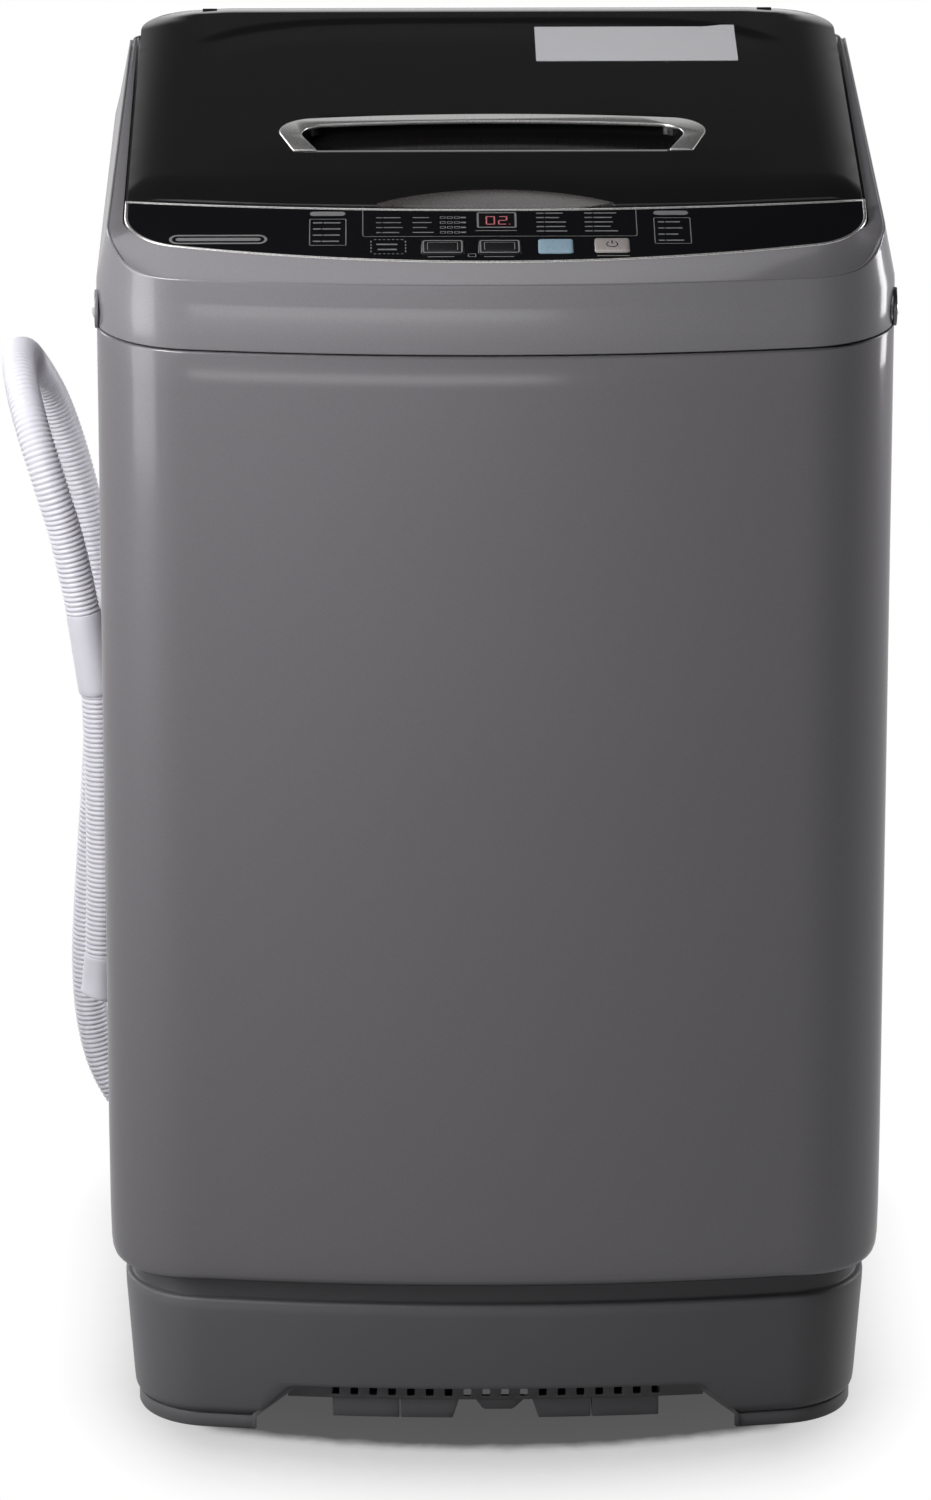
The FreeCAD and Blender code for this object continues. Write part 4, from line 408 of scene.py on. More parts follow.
def finish_piece(item, finish, body, smooth=35, stands_for=()):
    """Give a piece its finish and tie it to the body that it moves with."""
    item.data.materials.clear()
    item.data.materials.append(FINISHES[finish])
    item.data.shade_smooth()
    item.data.set_sharp_from_angle(angle=math.radians(smooth))
    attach(item, body)
    if stands_for:
        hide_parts(*stands_for)
    return item


# ---------------------------------------------------------------- finishes

FINISHES = {}
GRAIN_HEIGHT = 0.0002

# holes round the drum, distance from row to row, and a hole's radius as a share of its cell
DRUM_HOLES = 60
DRUM_ROW = 0.0215
DRUM_HOLE_SHARE = 0.13


def start_material(name):
    """A node material with its shader, and where its texture lies on the piece."""
    if name in bpy.data.materials:
        bpy.data.materials.remove(bpy.data.materials[name])
    material = bpy.data.materials.new(name)
    material.use_nodes = True
    tree = material.node_tree
    place = tree.nodes.new("ShaderNodeTexCoord")
    stretch = tree.nodes.new("ShaderNodeMapping")
    tree.links.new(place.outputs["Object"], stretch.inputs["Vector"])
    return material, tree, tree.nodes["Principled BSDF"], stretch


def feed(tree, socket, value):
    """Give a socket another node's output, a colour or a plain number."""
    if isinstance(value, bpy.types.NodeSocket):
        tree.links.new(value, socket)
    elif isinstance(value, tuple):
        socket.default_value = (*value, 1)
    else:
        socket.default_value = value


def add_math(tree, operation, first, second=0.0):
    """One step of arithmetic on node values or plain numbers."""
    node = tree.nodes.new("ShaderNodeMath")
    node.operation = operation
    feed(tree, node.inputs[0], first)
    feed(tree, node.inputs[1], second)
    return node.outputs[0]


def add_distance(tree, across, along):
    """Length of a step that goes across and along."""
    squares = [add_math(tree, "MULTIPLY", value, value) for value in (across, along)]
    return add_math(tree, "SQRT", add_math(tree, "ADD", *squares))


def add_split(tree, kind, source):
    """The parts of a colour or of a place, by name."""
    split = tree.nodes.new(kind)
    tree.links.new(source, split.inputs[0])
    return split.outputs


def add_noise(tree, stretch, scale, detail=2.0, roughness=0.5):
    """Soft noise from 0 to 1."""
    noise = tree.nodes.new("ShaderNodeTexNoise")
    noise.inputs["Scale"].default_value = scale
    noise.inputs["Detail"].default_value = detail
    noise.inputs["Roughness"].default_value = roughness
    tree.links.new(stretch.outputs["Vector"], noise.inputs["Vector"])
    return noise.outputs["Fac"]


def add_cells(tree, stretch, scale):
    """A mosaic of cells; each has its own random red, green and blue."""
    cells = tree.nodes.new("ShaderNodeTexVoronoi")
    cells.inputs["Scale"].default_value = scale
    tree.links.new(stretch.outputs["Vector"], cells.inputs["Vector"])
    return add_split(tree, "ShaderNodeSeparateColor", cells.outputs["Color"])


def add_range(tree, value, low, high, start=0.3, end=0.7):
    """Spread the middle of a 0 to 1 value over a range."""
    spread = tree.nodes.new("ShaderNodeMapRange")
    spread.inputs["From Min"].default_value = start
    spread.inputs["From Max"].default_value = end
    spread.inputs["To Min"].default_value = low
    spread.inputs["To Max"].default_value = high
    tree.links.new(value, spread.inputs["Value"])
    return spread.outputs["Result"]


def add_bump(tree, shader, height, strength, distance):
    """A fine relief that follows a value."""
    bump = tree.nodes.new("ShaderNodeBump")
    bump.inputs["Strength"].default_value = strength
    bump.inputs["Distance"].default_value = distance
    tree.links.new(height, bump.inputs["Height"])
    tree.links.new(bump.outputs["Normal"], shader.inputs["Normal"])


def add_two_tones(tree, value, first, second):
    """Mix two colours by a value."""
    mix = tree.nodes.new("ShaderNodeMix")
    mix.data_type = "RGBA"
    feed(tree, mix.inputs["A"], first)
    feed(tree, mix.inputs["B"], second)
    tree.links.new(value, mix.inputs["Factor"])
    return mix.outputs["Result"]


def shade(base, amount):
    """A colour made darker or lighter."""
    return tuple(min(max(c * amount, 0), 1) for c in base)


def surface(name, base, rough, grain, metal=0.0, relief_depth=0.05, mottle=0.05, wander=0.05,
            stretch_by=(1, 1, 1), cloud=14.0, reflect=0.5):
    """A finish with soft colour clouds, a fine grain in its gloss, and a fine relief."""
    material, tree, shader, stretch = start_material(name)
    stretch.inputs["Scale"].default_value = stretch_by
    clouds = add_range(tree, add_noise(tree, stretch, cloud, 4.0, 0.6), 0, 1)
    tones = add_two_tones(tree, clouds, shade(base, 1 - mottle), shade(base, 1 + mottle))
    tree.links.new(tones, shader.inputs["Base Color"])
    fine = add_noise(tree, stretch, grain, 3.0, 0.6)
    tree.links.new(add_range(tree, fine, rough - wander, rough + wander), shader.inputs["Roughness"])
    add_bump(tree, shader, fine, relief_depth, GRAIN_HEIGHT)
    shader.inputs["Metallic"].default_value = metal
    shader.inputs["Specular IOR Level"].default_value = reflect
    return material


def flaked_paint(name, base, rough):
    """Metallic paint: fine flakes under an almost flat clear layer."""
    material, tree, shader, stretch = start_material(name)
    flakes = add_cells(tree, stretch, 2600.0)
    flake_tone = add_two_tones(tree, flakes["Red"], shade(base, 0.93), shade(base, 1.07))
    tree.links.new(flake_tone, shader.inputs["Base Color"])
    clouds = add_noise(tree, stretch, 9.0, 3.0, 0.5)
    tree.links.new(add_range(tree, clouds, rough - 0.025, rough + 0.025), shader.inputs["Roughness"])
    peel = add_noise(tree, stretch, 260.0, 2.0, 0.4)
    add_bump(tree, shader, peel, 0.05, 0.0003)
    shader.inputs["Metallic"].default_value = 0.3
    shader.inputs["Specular Tint"].default_value = (0.4, 0.4, 0.42, 1)
    shader.inputs["Specular IOR Level"].default_value = 0.0
    shader.inputs["Coat Weight"].default_value = 0.45
    shader.inputs["Coat Roughness"].default_value = 0.12
    return material


def spangled_zinc(name, base):
    """Zinc coated sheet with its large faint crystals."""
    material, tree, shader, stretch = start_material(name)
    crystals = add_cells(tree, stretch, 55.0)
    tree.links.new(add_two_tones(tree, crystals["Red"], shade(base, 0.91), shade(base, 1.06)),
                   shader.inputs["Base Color"])
    tree.links.new(add_range(tree, crystals["Green"], 0.34, 0.5, 0, 1), shader.inputs["Roughness"])
    add_bump(tree, shader, add_noise(tree, stretch, 900.0), 0.06, 0.0002)
    shader.inputs["Metallic"].default_value = 0.9
    return material


def drum_steel(name, base):
    """Satin stainless sheet with rows of round water holes in its wall, each hole coloured near black as
    painted shade for the gap behind it.
    """
    material, tree, shader, stretch = start_material(name)
    spot = add_split(tree, "ShaderNodeSeparateXYZ", stretch.outputs["Vector"])
    turn = add_math(tree, "ARCTAN2", spot["Y"], spot["X"])
    across = add_math(tree, "MULTIPLY", turn, DRUM_HOLES / math.tau)
    up = add_math(tree, "MULTIPLY", spot["Z"], 1 / DRUM_ROW)
    row = add_math(tree, "FLOOR", up)
    shift = add_math(tree, "MULTIPLY", add_math(tree, "MODULO", row, 2.0), 0.5)
    cell_x = add_math(tree, "FRACT", add_math(tree, "ADD", across, shift))
    reach = add_distance(tree, add_math(tree, "SUBTRACT", cell_x, 0.5),
                         add_math(tree, "SUBTRACT", add_math(tree, "FRACT", up), 0.5))
    hole = add_math(tree, "LESS_THAN", reach, DRUM_HOLE_SHARE)
    brushed = tree.nodes.new("ShaderNodeMapping")
    brushed.inputs["Scale"].default_value = (30, 30, 1500)
    tree.links.new(stretch.outputs["Vector"], brushed.inputs["Vector"])
    streaks = add_noise(tree, brushed, 1.0, 3.0)
    steel = add_two_tones(tree, add_range(tree, streaks, 0, 1), shade(base, 0.9), shade(base, 1.08))
    # painted shade: the holes are coloured near black, standing in for the shaded gap behind the drum wall
    tree.links.new(add_two_tones(tree, hole, steel, (0.012, 0.012, 0.013)), shader.inputs["Base Color"])
    tree.links.new(add_range(tree, streaks, 0.24, 0.36), shader.inputs["Roughness"])
    tree.links.new(add_math(tree, "SUBTRACT", 1.0, hole), shader.inputs["Metallic"])
    dish = add_range(tree, reach, 0.0, 1.0, 0.12, 0.24)
    add_bump(tree, shader, dish, 0.6, 0.0012)
    return material


def hose_plastic(name, base):
    """Milky, slightly see-through hose plastic."""
    material = surface(name, base, 0.34, grain=700, mottle=0.025, relief_depth=0.03, reflect=0.45)
    shader = material.node_tree.nodes["Principled BSDF"]
    shader.inputs["Subsurface Weight"].default_value = 0.12
    shader.inputs["Subsurface Radius"].default_value = (0.004, 0.004, 0.005)
    return material


def lit_digits(name, base):
    """Dim red light behind smoked plastic, its brightness varying in soft random patches."""
    material, tree, shader, stretch = start_material(name)
    glow = add_noise(tree, stretch, 600.0, 2.0)
    tones = add_two_tones(tree, add_range(tree, glow, 0, 1), shade(base, 0.8), shade(base, 1.2))
    tree.links.new(tones, shader.inputs["Base Color"])
    tree.links.new(tones, shader.inputs["Emission Color"])
    shader.inputs["Emission Strength"].default_value = 0.35
    shader.inputs["Roughness"].default_value = 0.5
    return material


def make_finishes():
    """Every finish of the machine, by its maker's name."""
    made = [
        flaked_paint("cabinet paint", tint("cabinet"), 0.40),
        flaked_paint("frame moulding", tint("top_frame"), 0.36),
        surface("base moulding", tint("base"), 0.5, grain=1500, relief_depth=0.16, mottle=0.03,
                reflect=0.35),
        surface("lid gloss", tint("gloss_black"), 0.12, grain=500, relief_depth=0.01, mottle=0.1,
                wander=0.02, reflect=0.32),
        surface("notch gloss", (0.030, 0.026, 0.025), 0.28, grain=500, relief_depth=0.01, mottle=0.08,
                wander=0.02, reflect=0.6),
        surface("label film", (0.56, 0.56, 0.585), 0.4, grain=900, relief_depth=0.03, mottle=0.02),
        surface("panel gloss", tint("panel_black"), 0.09, grain=500, relief_depth=0.006, mottle=0.1,
                wander=0.015, reflect=0.2),
        surface("satin silver", tint("trim"), 0.28, metal=0.9, grain=1800, relief_depth=0.03, mottle=0.03),
        surface("panel print", tint("print"), 0.55, grain=2500, relief_depth=0.02, mottle=0.12, cloud=300),
        surface("key black", tint("panel_black"), 0.2, grain=900, relief_depth=0.02, mottle=0.1,
                reflect=0.3),
        surface("key blue", tint("start_key"), 0.3, grain=900, relief_depth=0.02, mottle=0.03),
        surface("key silver", tint("power_key"), 0.3, metal=0.35, grain=900, relief_depth=0.02, mottle=0.03),
        surface("smoked window", (0.006, 0.004, 0.005), 0.1, grain=700, relief_depth=0.01, mottle=0.1,
                reflect=0.35),
        lit_digits("display digits", tint("digits")),
        hose_plastic("drain hose plastic", tint("hose")),
        hose_plastic("extension hose plastic", shade(tint("hose"), 0.94)),
        surface("soft rubber", (0.022, 0.022, 0.023), 0.7, grain=1600, relief_depth=0.2, mottle=0.15,
                reflect=0.3),
        spangled_zinc("zinc sheet", (0.40, 0.405, 0.415)),
        surface("plain steel", (0.45, 0.45, 0.46), 0.34, metal=1.0, grain=700, mottle=0.08,
                stretch_by=(1, 1, 6)),
        surface("satin stainless", (0.60, 0.60, 0.61), 0.27, metal=1.0, grain=90, relief_depth=0.03,
                stretch_by=(1, 1, 16)),
        drum_steel("drum sheet", (0.60, 0.60, 0.61)),
        surface("cast alloy", (0.5, 0.5, 0.51), 0.5, metal=0.9, grain=500, relief_depth=0.3, mottle=0.08),
        surface("tub plastic", (0.62, 0.63, 0.65), 0.5, grain=900, relief_depth=0.1, mottle=0.03),
        surface("white moulding", (0.74, 0.745, 0.755), 0.36, grain=1100, mottle=0.02),
        surface("grey hose plastic", (0.45, 0.45, 0.49), 0.42, grain=800, mottle=0.04),
        surface("board lacquer", (0.02, 0.12, 0.045), 0.3, grain=400, relief_depth=0.2, mottle=0.3,
                cloud=160),
        surface("motor enamel", (0.045, 0.048, 0.052), 0.38, metal=0.2, grain=500, relief_depth=0.12,
                mottle=0.1),
    ]
    return {material.name: material for material in made}


INNER_FINISHES = {
    "base moulding": ["lid_liner"],
    "zinc sheet": ["suspension_brackets", "mounting_plate"],
    "plain steel": ["suspension_rods", "suspension_springs", "spin_tube", "shaft_bearings", "motor_rotor",
                    "lid_hinge_pins"],
    "satin stainless": ["wash_shaft", "pulsator_screw"],
    "drum sheet": ["inner_drum"],
    "cast alloy": ["clutch_housing", "clutch_pulley", "drum_flange"],
    "tub plastic": ["outer_tub", "tub_cover"],
    "white moulding": ["suspension_seats", "motor_capacitor", "inlet_valve", "inlet_duct", "drain_pipe",
                       "level_sensor", "drain_valve_body", "drain_actuator", "balance_ring", "lint_filter",
                       "pulsator", "drain_valve_stem"],
    "grey hose plastic": ["overflow_hose"],
    "soft rubber": ["drain_bellows", "shaft_seal", "drive_belt", "power_gland", "rear_feet",
                    "foot_front_left", "foot_front_right"],
    "board lacquer": ["control_board"],
    "motor enamel": ["motor_housing"],
}


# ---------------------------------------------------------------- stage

CAMERA_PLACE = (-76.3, -5308.1, 2233.4)
CAMERA_PITCH = 19.0
CAMERA_YAW = 0.633
CAMERA_LENS = 196.02

# name, place, target, width, height and power of each lamp; metres and watts
LAMPS = [("left_softbox", (-1.22, -0.62, 0.94), (-0.2, -0.1, 0.86), 0.58, 1.2, 9.5),
         ("key_softbox", (-0.78, -0.84, 1.42), (0, -0.2, 0.84), 0.45, 0.45, 15),
         ("right_strip", (1.25, 0.5, 0.92), (0.2, 0, 0.75), 0.3, 1.1, 12),
         ("overhead_softbox", (-0.35, 0.45, 2.6), (0, 0, 0.8), 1.5, 1.0, 9),
         ("low_fill", (-0.5, -3.3, 0.12), (0, 0, 0.02), 1.6, 0.2, 5),
         ("rear_softbox", (-1.9, 1.9, 1.5), (0, 0, 0.5), 1.2, 1.4, 34)]

# the floor's painted shadow: the middle of the footprint, its bow, how much faster it fades at the sides,
# how far it goes in metres, and its tones from the middle outwards
SHADOW_HALF_WIDTH = 0.184
SHADOW_HALF_DEPTH = 0.205
SHADOW_BOW = 0.95
SHADOW_SIDE_FALL = 1.64
SHADOW_REACH = 0.35
SHADOW_TONES = [(0.0, 0.09), (0.150, 0.10), (0.168, 0.28), (0.182, 0.46), (0.20, 0.57), (0.245, 0.63),
                (0.306, 0.74), (0.37, 0.84), (0.45, 0.93), (0.55, 1.0)]


def add_softbox(name, place, target, width, height, power):
    """A rectangular lamp that faces a point."""
    lamp = bpy.data.lights.new(name, "AREA")
    lamp.shape = "RECTANGLE"
    lamp.size = width
    lamp.size_y = height
    lamp.energy = power
    item = put_in_scene(name, lamp)
    item.location = place
    item.rotation_euler = (Vector(target) - Vector(place)).to_track_quat("-Z", "Y").to_euler()


def plainly_seen(tree):
    """1 for what the camera, a gloss or clear plastic shows, 0 for the light that is thrown back."""
    rays = tree.nodes.new("ShaderNodeLightPath")
    seen = add_math(tree, "MAXIMUM", rays.outputs["Is Camera Ray"], rays.outputs["Is Glossy Ray"])
    return add_math(tree, "MAXIMUM", seen, rays.outputs["Is Transmission Ray"])


def floor_material():
    """White floor with a painted shadow that darkens it under the machine and close round it."""
    material, tree, shader, stretch = start_material("studio floor")
    spot = add_split(tree, "ShaderNodeSeparateXYZ", stretch.outputs["Vector"])
    across = add_math(tree, "SUBTRACT", add_math(tree, "ABSOLUTE", spot["X"]), SHADOW_HALF_WIDTH)
    bow = add_math(tree, "MULTIPLY", add_math(tree, "MULTIPLY", spot["X"], spot["X"]), SHADOW_BOW)
    depth = add_math(tree, "ADD", add_math(tree, "ABSOLUTE", spot["Y"]), bow)
    along = add_math(tree, "SUBTRACT", depth, SHADOW_HALF_DEPTH)
    beside = add_math(tree, "MULTIPLY", add_math(tree, "MAXIMUM", across), SHADOW_SIDE_FALL)
    reach = add_distance(tree, beside, add_math(tree, "MAXIMUM", along))
    # painted shadow: the floor's seen colour is a ramp of dark greys under the machine that lightens to
    # white with distance from the footprint
    fall = tree.nodes.new("ShaderNodeValToRGB")
    ramp = fall.color_ramp
    ramp.elements[0].position = SHADOW_TONES[0][0]
    ramp.elements[1].position = SHADOW_TONES[-1][0]
    for position, _ in SHADOW_TONES[1:-1]:
        ramp.elements.new(position)
    for element, (_, tone) in zip(ramp.elements, SHADOW_TONES):
        element.color = (tone, tone, tone, 1)
    fine = add_noise(tree, stretch, 60.0)
    near = add_math(tree, "DIVIDE", reach, SHADOW_REACH)
    tree.links.new(add_math(tree, "ADD", near, add_range(tree, fine, -0.004, 0.004)), fall.inputs["Fac"])
    seen = plainly_seen(tree)
    tree.links.new(add_two_tones(tree, seen, shade(tint("floor"), 0.06), (0, 0, 0)),
                   shader.inputs["Base Color"])
    tree.links.new(fall.outputs["Color"], shader.inputs["Emission Color"])
    tree.links.new(seen, shader.inputs["Emission Strength"])
    tree.links.new(add_range(tree, fine, 0.75, 0.85), shader.inputs["Roughness"])
    shader.inputs["Specular IOR Level"].default_value = 0.0
    return material


def studio_world():
    """Dim surroundings; plainly seen, they are white at the horizon and dim overhead."""
    world = bpy.data.worlds.new("studio_world")
    world.use_nodes = True
    tree = world.node_tree
    back = tree.nodes["Background"]
    back.inputs["Color"].default_value = (1, 1, 1, 1)
    place = tree.nodes.new("ShaderNodeTexCoord")
    spot = add_split(tree, "ShaderNodeSeparateXYZ", place.outputs["Generated"])
    height = add_range(tree, spot["Z"], 1.0, 0.03, 0.20, 0.36)
    strength = add_range(tree, plainly_seen(tree), 0.03, 1.0, 0, 1)
    tree.links.new(add_math(tree, "MINIMUM", strength, height), back.inputs["Strength"])
    return world


class WASHER_OT_stage(bpy.types.Operator):
    """Floor, lamps, world and camera of a plain studio"""

    bl_idname = "washer.stage"
    bl_label = "Studio"

    def execute(self, context):
        far = 30000
        corners = [(-far, -far, 0), (far, -far, 0), (far, far, 0), (-far, far, 0)]
        floor = raw_piece("studio_floor", corners, [(0, 1, 2, 3)])
        floor.data.materials.append(floor_material())
        for lamp in LAMPS:
            add_softbox(*lamp)
        context.scene.world = studio_world()
        lens = bpy.data.cameras.new("camera")
        lens.lens = CAMERA_LENS
        lens.clip_end = 100
        camera = put_in_scene("camera", lens)
        camera.location = Vector(CAMERA_PLACE) * MM
        camera.rotation_euler = (math.radians(90 - CAMERA_PITCH), 0, -math.radians(CAMERA_YAW))
        context.scene.camera = camera
        context.scene.view_settings.view_transform = "Standard"
        return {"FINISHED"}


# ---------------------------------------------------------------- hoses

# points that the hoses' lines follow, in metres
HOSE_ROUTE = [
    (-0.1596, 0.277, 0.0329), (-0.1906, 0.277, 0.015), (-0.223, 0.277, 0.0132), (-0.2555, 0.277, 0.0275),
    (-0.2775, 0.277, 0.061), (-0.2875, 0.2765, 0.100), (-0.2905, 0.276, 0.146), (-0.288, 0.276, 0.192),
    (-0.2845, 0.276, 0.240), (-0.2805, 0.276, 0.292), (-0.2775, 0.276, 0.348), (-0.2765, 0.276, 0.404),
    (-0.279, 0.276, 0.458), (-0.2885, 0.276, 0.512), (-0.305, 0.276, 0.571), (-0.3205, 0.2543, 0.608),
    (-0.328, 0.2167, 0.630), (-0.328, 0.1733, 0.630), (-0.3205, 0.1357, 0.608), (-0.306, 0.114, 0.566),
    (-0.291, 0.114, 0.515), (-0.282, 0.114, 0.462)]
EXTENSION_ROUTE = [
    (-0.2745, 0.114, 0.411), (-0.273, 0.114, 0.362), (-0.2724, 0.114, 0.306), (-0.273, 0.114, 0.256),
    (-0.275, 0.114, 0.212)]
MOUTH_END = (-0.277, 0.114, 0.184)
STEPS_PER_RIB = 6
SLEEVE_STEPS = 40
CLIP_INNER = 12.7
CLIP_OUTER = 15.2


def smooth_line(route, step):
    """Evenly spaced points on the NURBS line that a route's points control."""
    curve = bpy.data.curves.new("route", "CURVE")
    curve.dimensions = "3D"
    spline = curve.splines.new("NURBS")
    spline.points.add(len(route) - 1)
    for point, place in zip(spline.points, route):
        point.co = (*place, 1)
    spline.order_u = 3
    spline.use_endpoint_u = True
    spline.resolution_u = 32
    item = put_in_scene("route", curve)
    mesh = bpy.data.meshes.new_from_object(item.evaluated_get(bpy.context.evaluated_depsgraph_get()))
    line = [v.co.copy() for v in mesh.vertices]
    bpy.data.objects.remove(item)
    bpy.data.meshes.remove(mesh)
    bpy.data.curves.remove(curve)
    reaches = [0.0]
    for a, b in zip(line, line[1:]):
        reaches.append(reaches[-1] + (b - a).length)
    count = max(int(round(reaches[-1] / step)), 4)
    even_line, at = [], 0
    for number in range(count + 1):
        want = reaches[-1] * number / count
        while at < len(line) - 2 and reaches[at + 1] < want:
            at += 1
        share = (want - reaches[at]) / (reaches[at + 1] - reaches[at])
        even_line.append(line[at].lerp(line[at + 1], share))
    return even_line


def round_ring(spot, side, up, radius, steps):
    """A circle of points in millimetres about a spot in metres."""
    angles = [math.tau * i / steps for i in range(steps)]
    return [tuple((spot + (side * math.cos(a) + up * math.sin(a)) * radius * MM) / MM) for a in angles]


def tube(name, line, radii, steps=24):
    """A round tube along a line, one radius for each of its points."""
    rings = []
    forward = (line[1] - line[0]).normalized()
    side = forward.orthogonal().normalized()
    for number, spot in enumerate(line):
        ahead = (line[min(number + 1, len(line) - 1)] - line[max(number - 1, 0)]).normalized()
        side = (side - ahead * side.dot(ahead)).normalized()
        rings.append(round_ring(spot, side, ahead.cross(side), radii[number], steps))
    return raw_piece(name, *loft(rings, True))


def ribbed_radii(count, radius, depth, step, pitch, plain_start, plain_end):
    """Radii of a corrugated hose with rounded ribs, narrow valleys and nearly plain ends."""
    radii = []
    for number in range(count):
        reach = number * step
        left = (count - 1 - number) * step
        valley = (0.5 + 0.5 * math.cos(math.tau * reach / pitch)) ** 1.6
        if reach < plain_start or left < plain_end:
            valley = 0.3
        radii.append(radius - depth * valley)
    return radii


class WASHER_OT_drain_hose(bpy.types.Operator):
    """Corrugated drain hose with its cuffs, extension, elbow and clip"""

    bl_idname = "washer.drain_hose"
    bl_label = "Drain hose"

    def execute(self, context):
        radius = mm("hose_diameter") / 2
        small = mm("extension_diameter") / 2
        hose, hose_line = self.ribbed_hose("drain_hose_ribbed", HOSE_ROUTE, radius, 0.9, 8, 0)
        finish_piece(hose, "drain hose plastic", "cabinet", 70, ["drain_hose"])
        extension, line = self.ribbed_hose("extension_hose_ribbed", EXTENSION_ROUTE, small, 0.8, 2, 4)
        finish_piece(extension, "extension hose plastic", "cabinet", 70, ["extension_hose"])
        cuff = self.cuff(hose_line[-1], Vector(EXTENSION_ROUTE[0]), radius)
        mouth = self.mouth(line[-1], Vector(MOUTH_END), small)
        self.elbow()
        self.clip()
        mm("hose_diameter") * MM
        mm("extension_diameter") * MM
        return {"FINISHED"}

    def ribbed_hose(self, name, route, radius, depth, plain_start, plain_end):
        """A corrugated hose along a route, and its line."""
        pitch = mm("rib_pitch")
        step = pitch / STEPS_PER_RIB
        line = smooth_line(route, step * MM)
        radii = ribbed_radii(len(line), radius, depth, step, pitch, plain_start, plain_end)
        return tube(name, line, radii), line

    def sleeve(self, name, first, last, profile, slant=0.0):
        """A turned sleeve between two points; the profile is the share of its length and the radius."""
        axis = last - first
        side = axis.normalized().cross(Vector((0, 1, 0))).normalized()
        up = axis.normalized().cross(side)
        rings = []
        for share, radius in profile:
            ring = []
            for i in range(SLEEVE_STEPS):
                turn = math.tau * i / SLEEVE_STEPS
                off = (side * math.cos(turn) + up * math.sin(turn)) * radius * MM
                lean = slant * math.cos(turn) * max(share - .5, 0) * 2
                ring.append(tuple((first + axis * (share + lean) + off) / MM))
            rings.append(ring)
        return raw_piece(name, *loft(rings, True))

    def cuff(self, first, last, radius):
        """Smooth cuff over the joint between the hose and its extension."""
        profile = [(-0.14, -1.2), (-0.14, -0.2), (-0.11, 0.15), (0.0, 0.25), (0.5, 0.45), (0.9, 0.65),
                   (0.97, 0.5), (1.0, 0), (1.0, -1.6)]
        item = self.sleeve("hose_cuff_smooth", first, last, [(share, radius + d) for share, d in profile])
        return finish_piece(item, "drain hose plastic", "cabinet", 50, ["hose_cuff"])

    def mouth(self, first, last, radius):
        """Open cuff that a drain pipe would take."""
        profile = [(-0.08, -1.2), (-0.08, -0.1), (-0.05, 0.15), (0.0, 0.2), (0.4, 0.3), (0.86, 0.7),
                   (0.9, 1.1), (0.97, 1.1), (1.0, 0.8), (1.0, -0.6), (0.97, -0.9), (0.3, -1.6)]
        item = self.sleeve("extension_cuff_open", first, last,
                           [(share, radius + d) for share, d in profile] + [(0.29, 0.4)], 0.09)
        return finish_piece(item, "extension hose plastic", "cabinet", 50,
                            ["extension_cuff"])

    def elbow(self):
        """Rubber elbow between the machine's spigot and the hose."""
        bend = [(-0.130, 0.2625, 0.050), (-0.130, 0.270, 0.050), (-0.1305, 0.2755, 0.0497),
                (-0.134, 0.2765, 0.0477), (-0.147, 0.277, 0.0402), (-0.1596, 0.277, 0.0329)]
        line = smooth_line(bend, 0.0012)
        shares = [number / (len(line) - 1) for number in range(len(line))]
        radii = [13.6 if 0.12 <= share <= 0.8 else 14.5 for share in shares]
        item = tube("drain_elbow_rubber", line, radii, 32)
        finish_piece(item, "soft rubber", "cabinet", 40, ["drain_elbow"])

    def clip(self):
        """Open band on the cabinet's back that holds the rising hose."""
        low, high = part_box("hose_clip")
        middle = (low.z + high.z) / 2
        rising = [p for p in smooth_line(HOSE_ROUTE, 0.004) if p.y >= 0.26]
        spot = min(rising, key=lambda p: abs(p.z - middle))
        x, y = spot.x / MM, spot.y / MM
        band = arc(x, y, CLIP_OUTER, -60, 300, 48)[:-1]
        hole = arc(x, y, CLIP_INNER, -60, 300, 48)[:-1]
        bottom, top = low.z / MM, high.z / MM
        ring = prism("hose_clip_band", band, bottom, top, holes=[hole])
        near = mm("back_reach") + .2
        foot = prism("foot", [(x + 12, near), (high.x / MM, near), (high.x / MM, 256), (x + 24, 256),
                              (x + 14.5, 266), (x + 13, 262)], bottom, top)
        item = join([ring, foot])
        soften(item, 0.5)
        finish_piece(item, "white moulding", "cabinet", 40, ["hose_clip"])


# ---------------------------------------------------------------- cabinet

def ring_at(height, inset, lower=0.0):
    """The machine's outline at one height; its sides may hang a little lower than its front."""
    return both_sides([(x, y, height - lower * smooth_step((abs(x) - 190) / 60))
                       for x, y in plan_half(inset)])


SIDE_SCREW = (259.3, -190, 774)


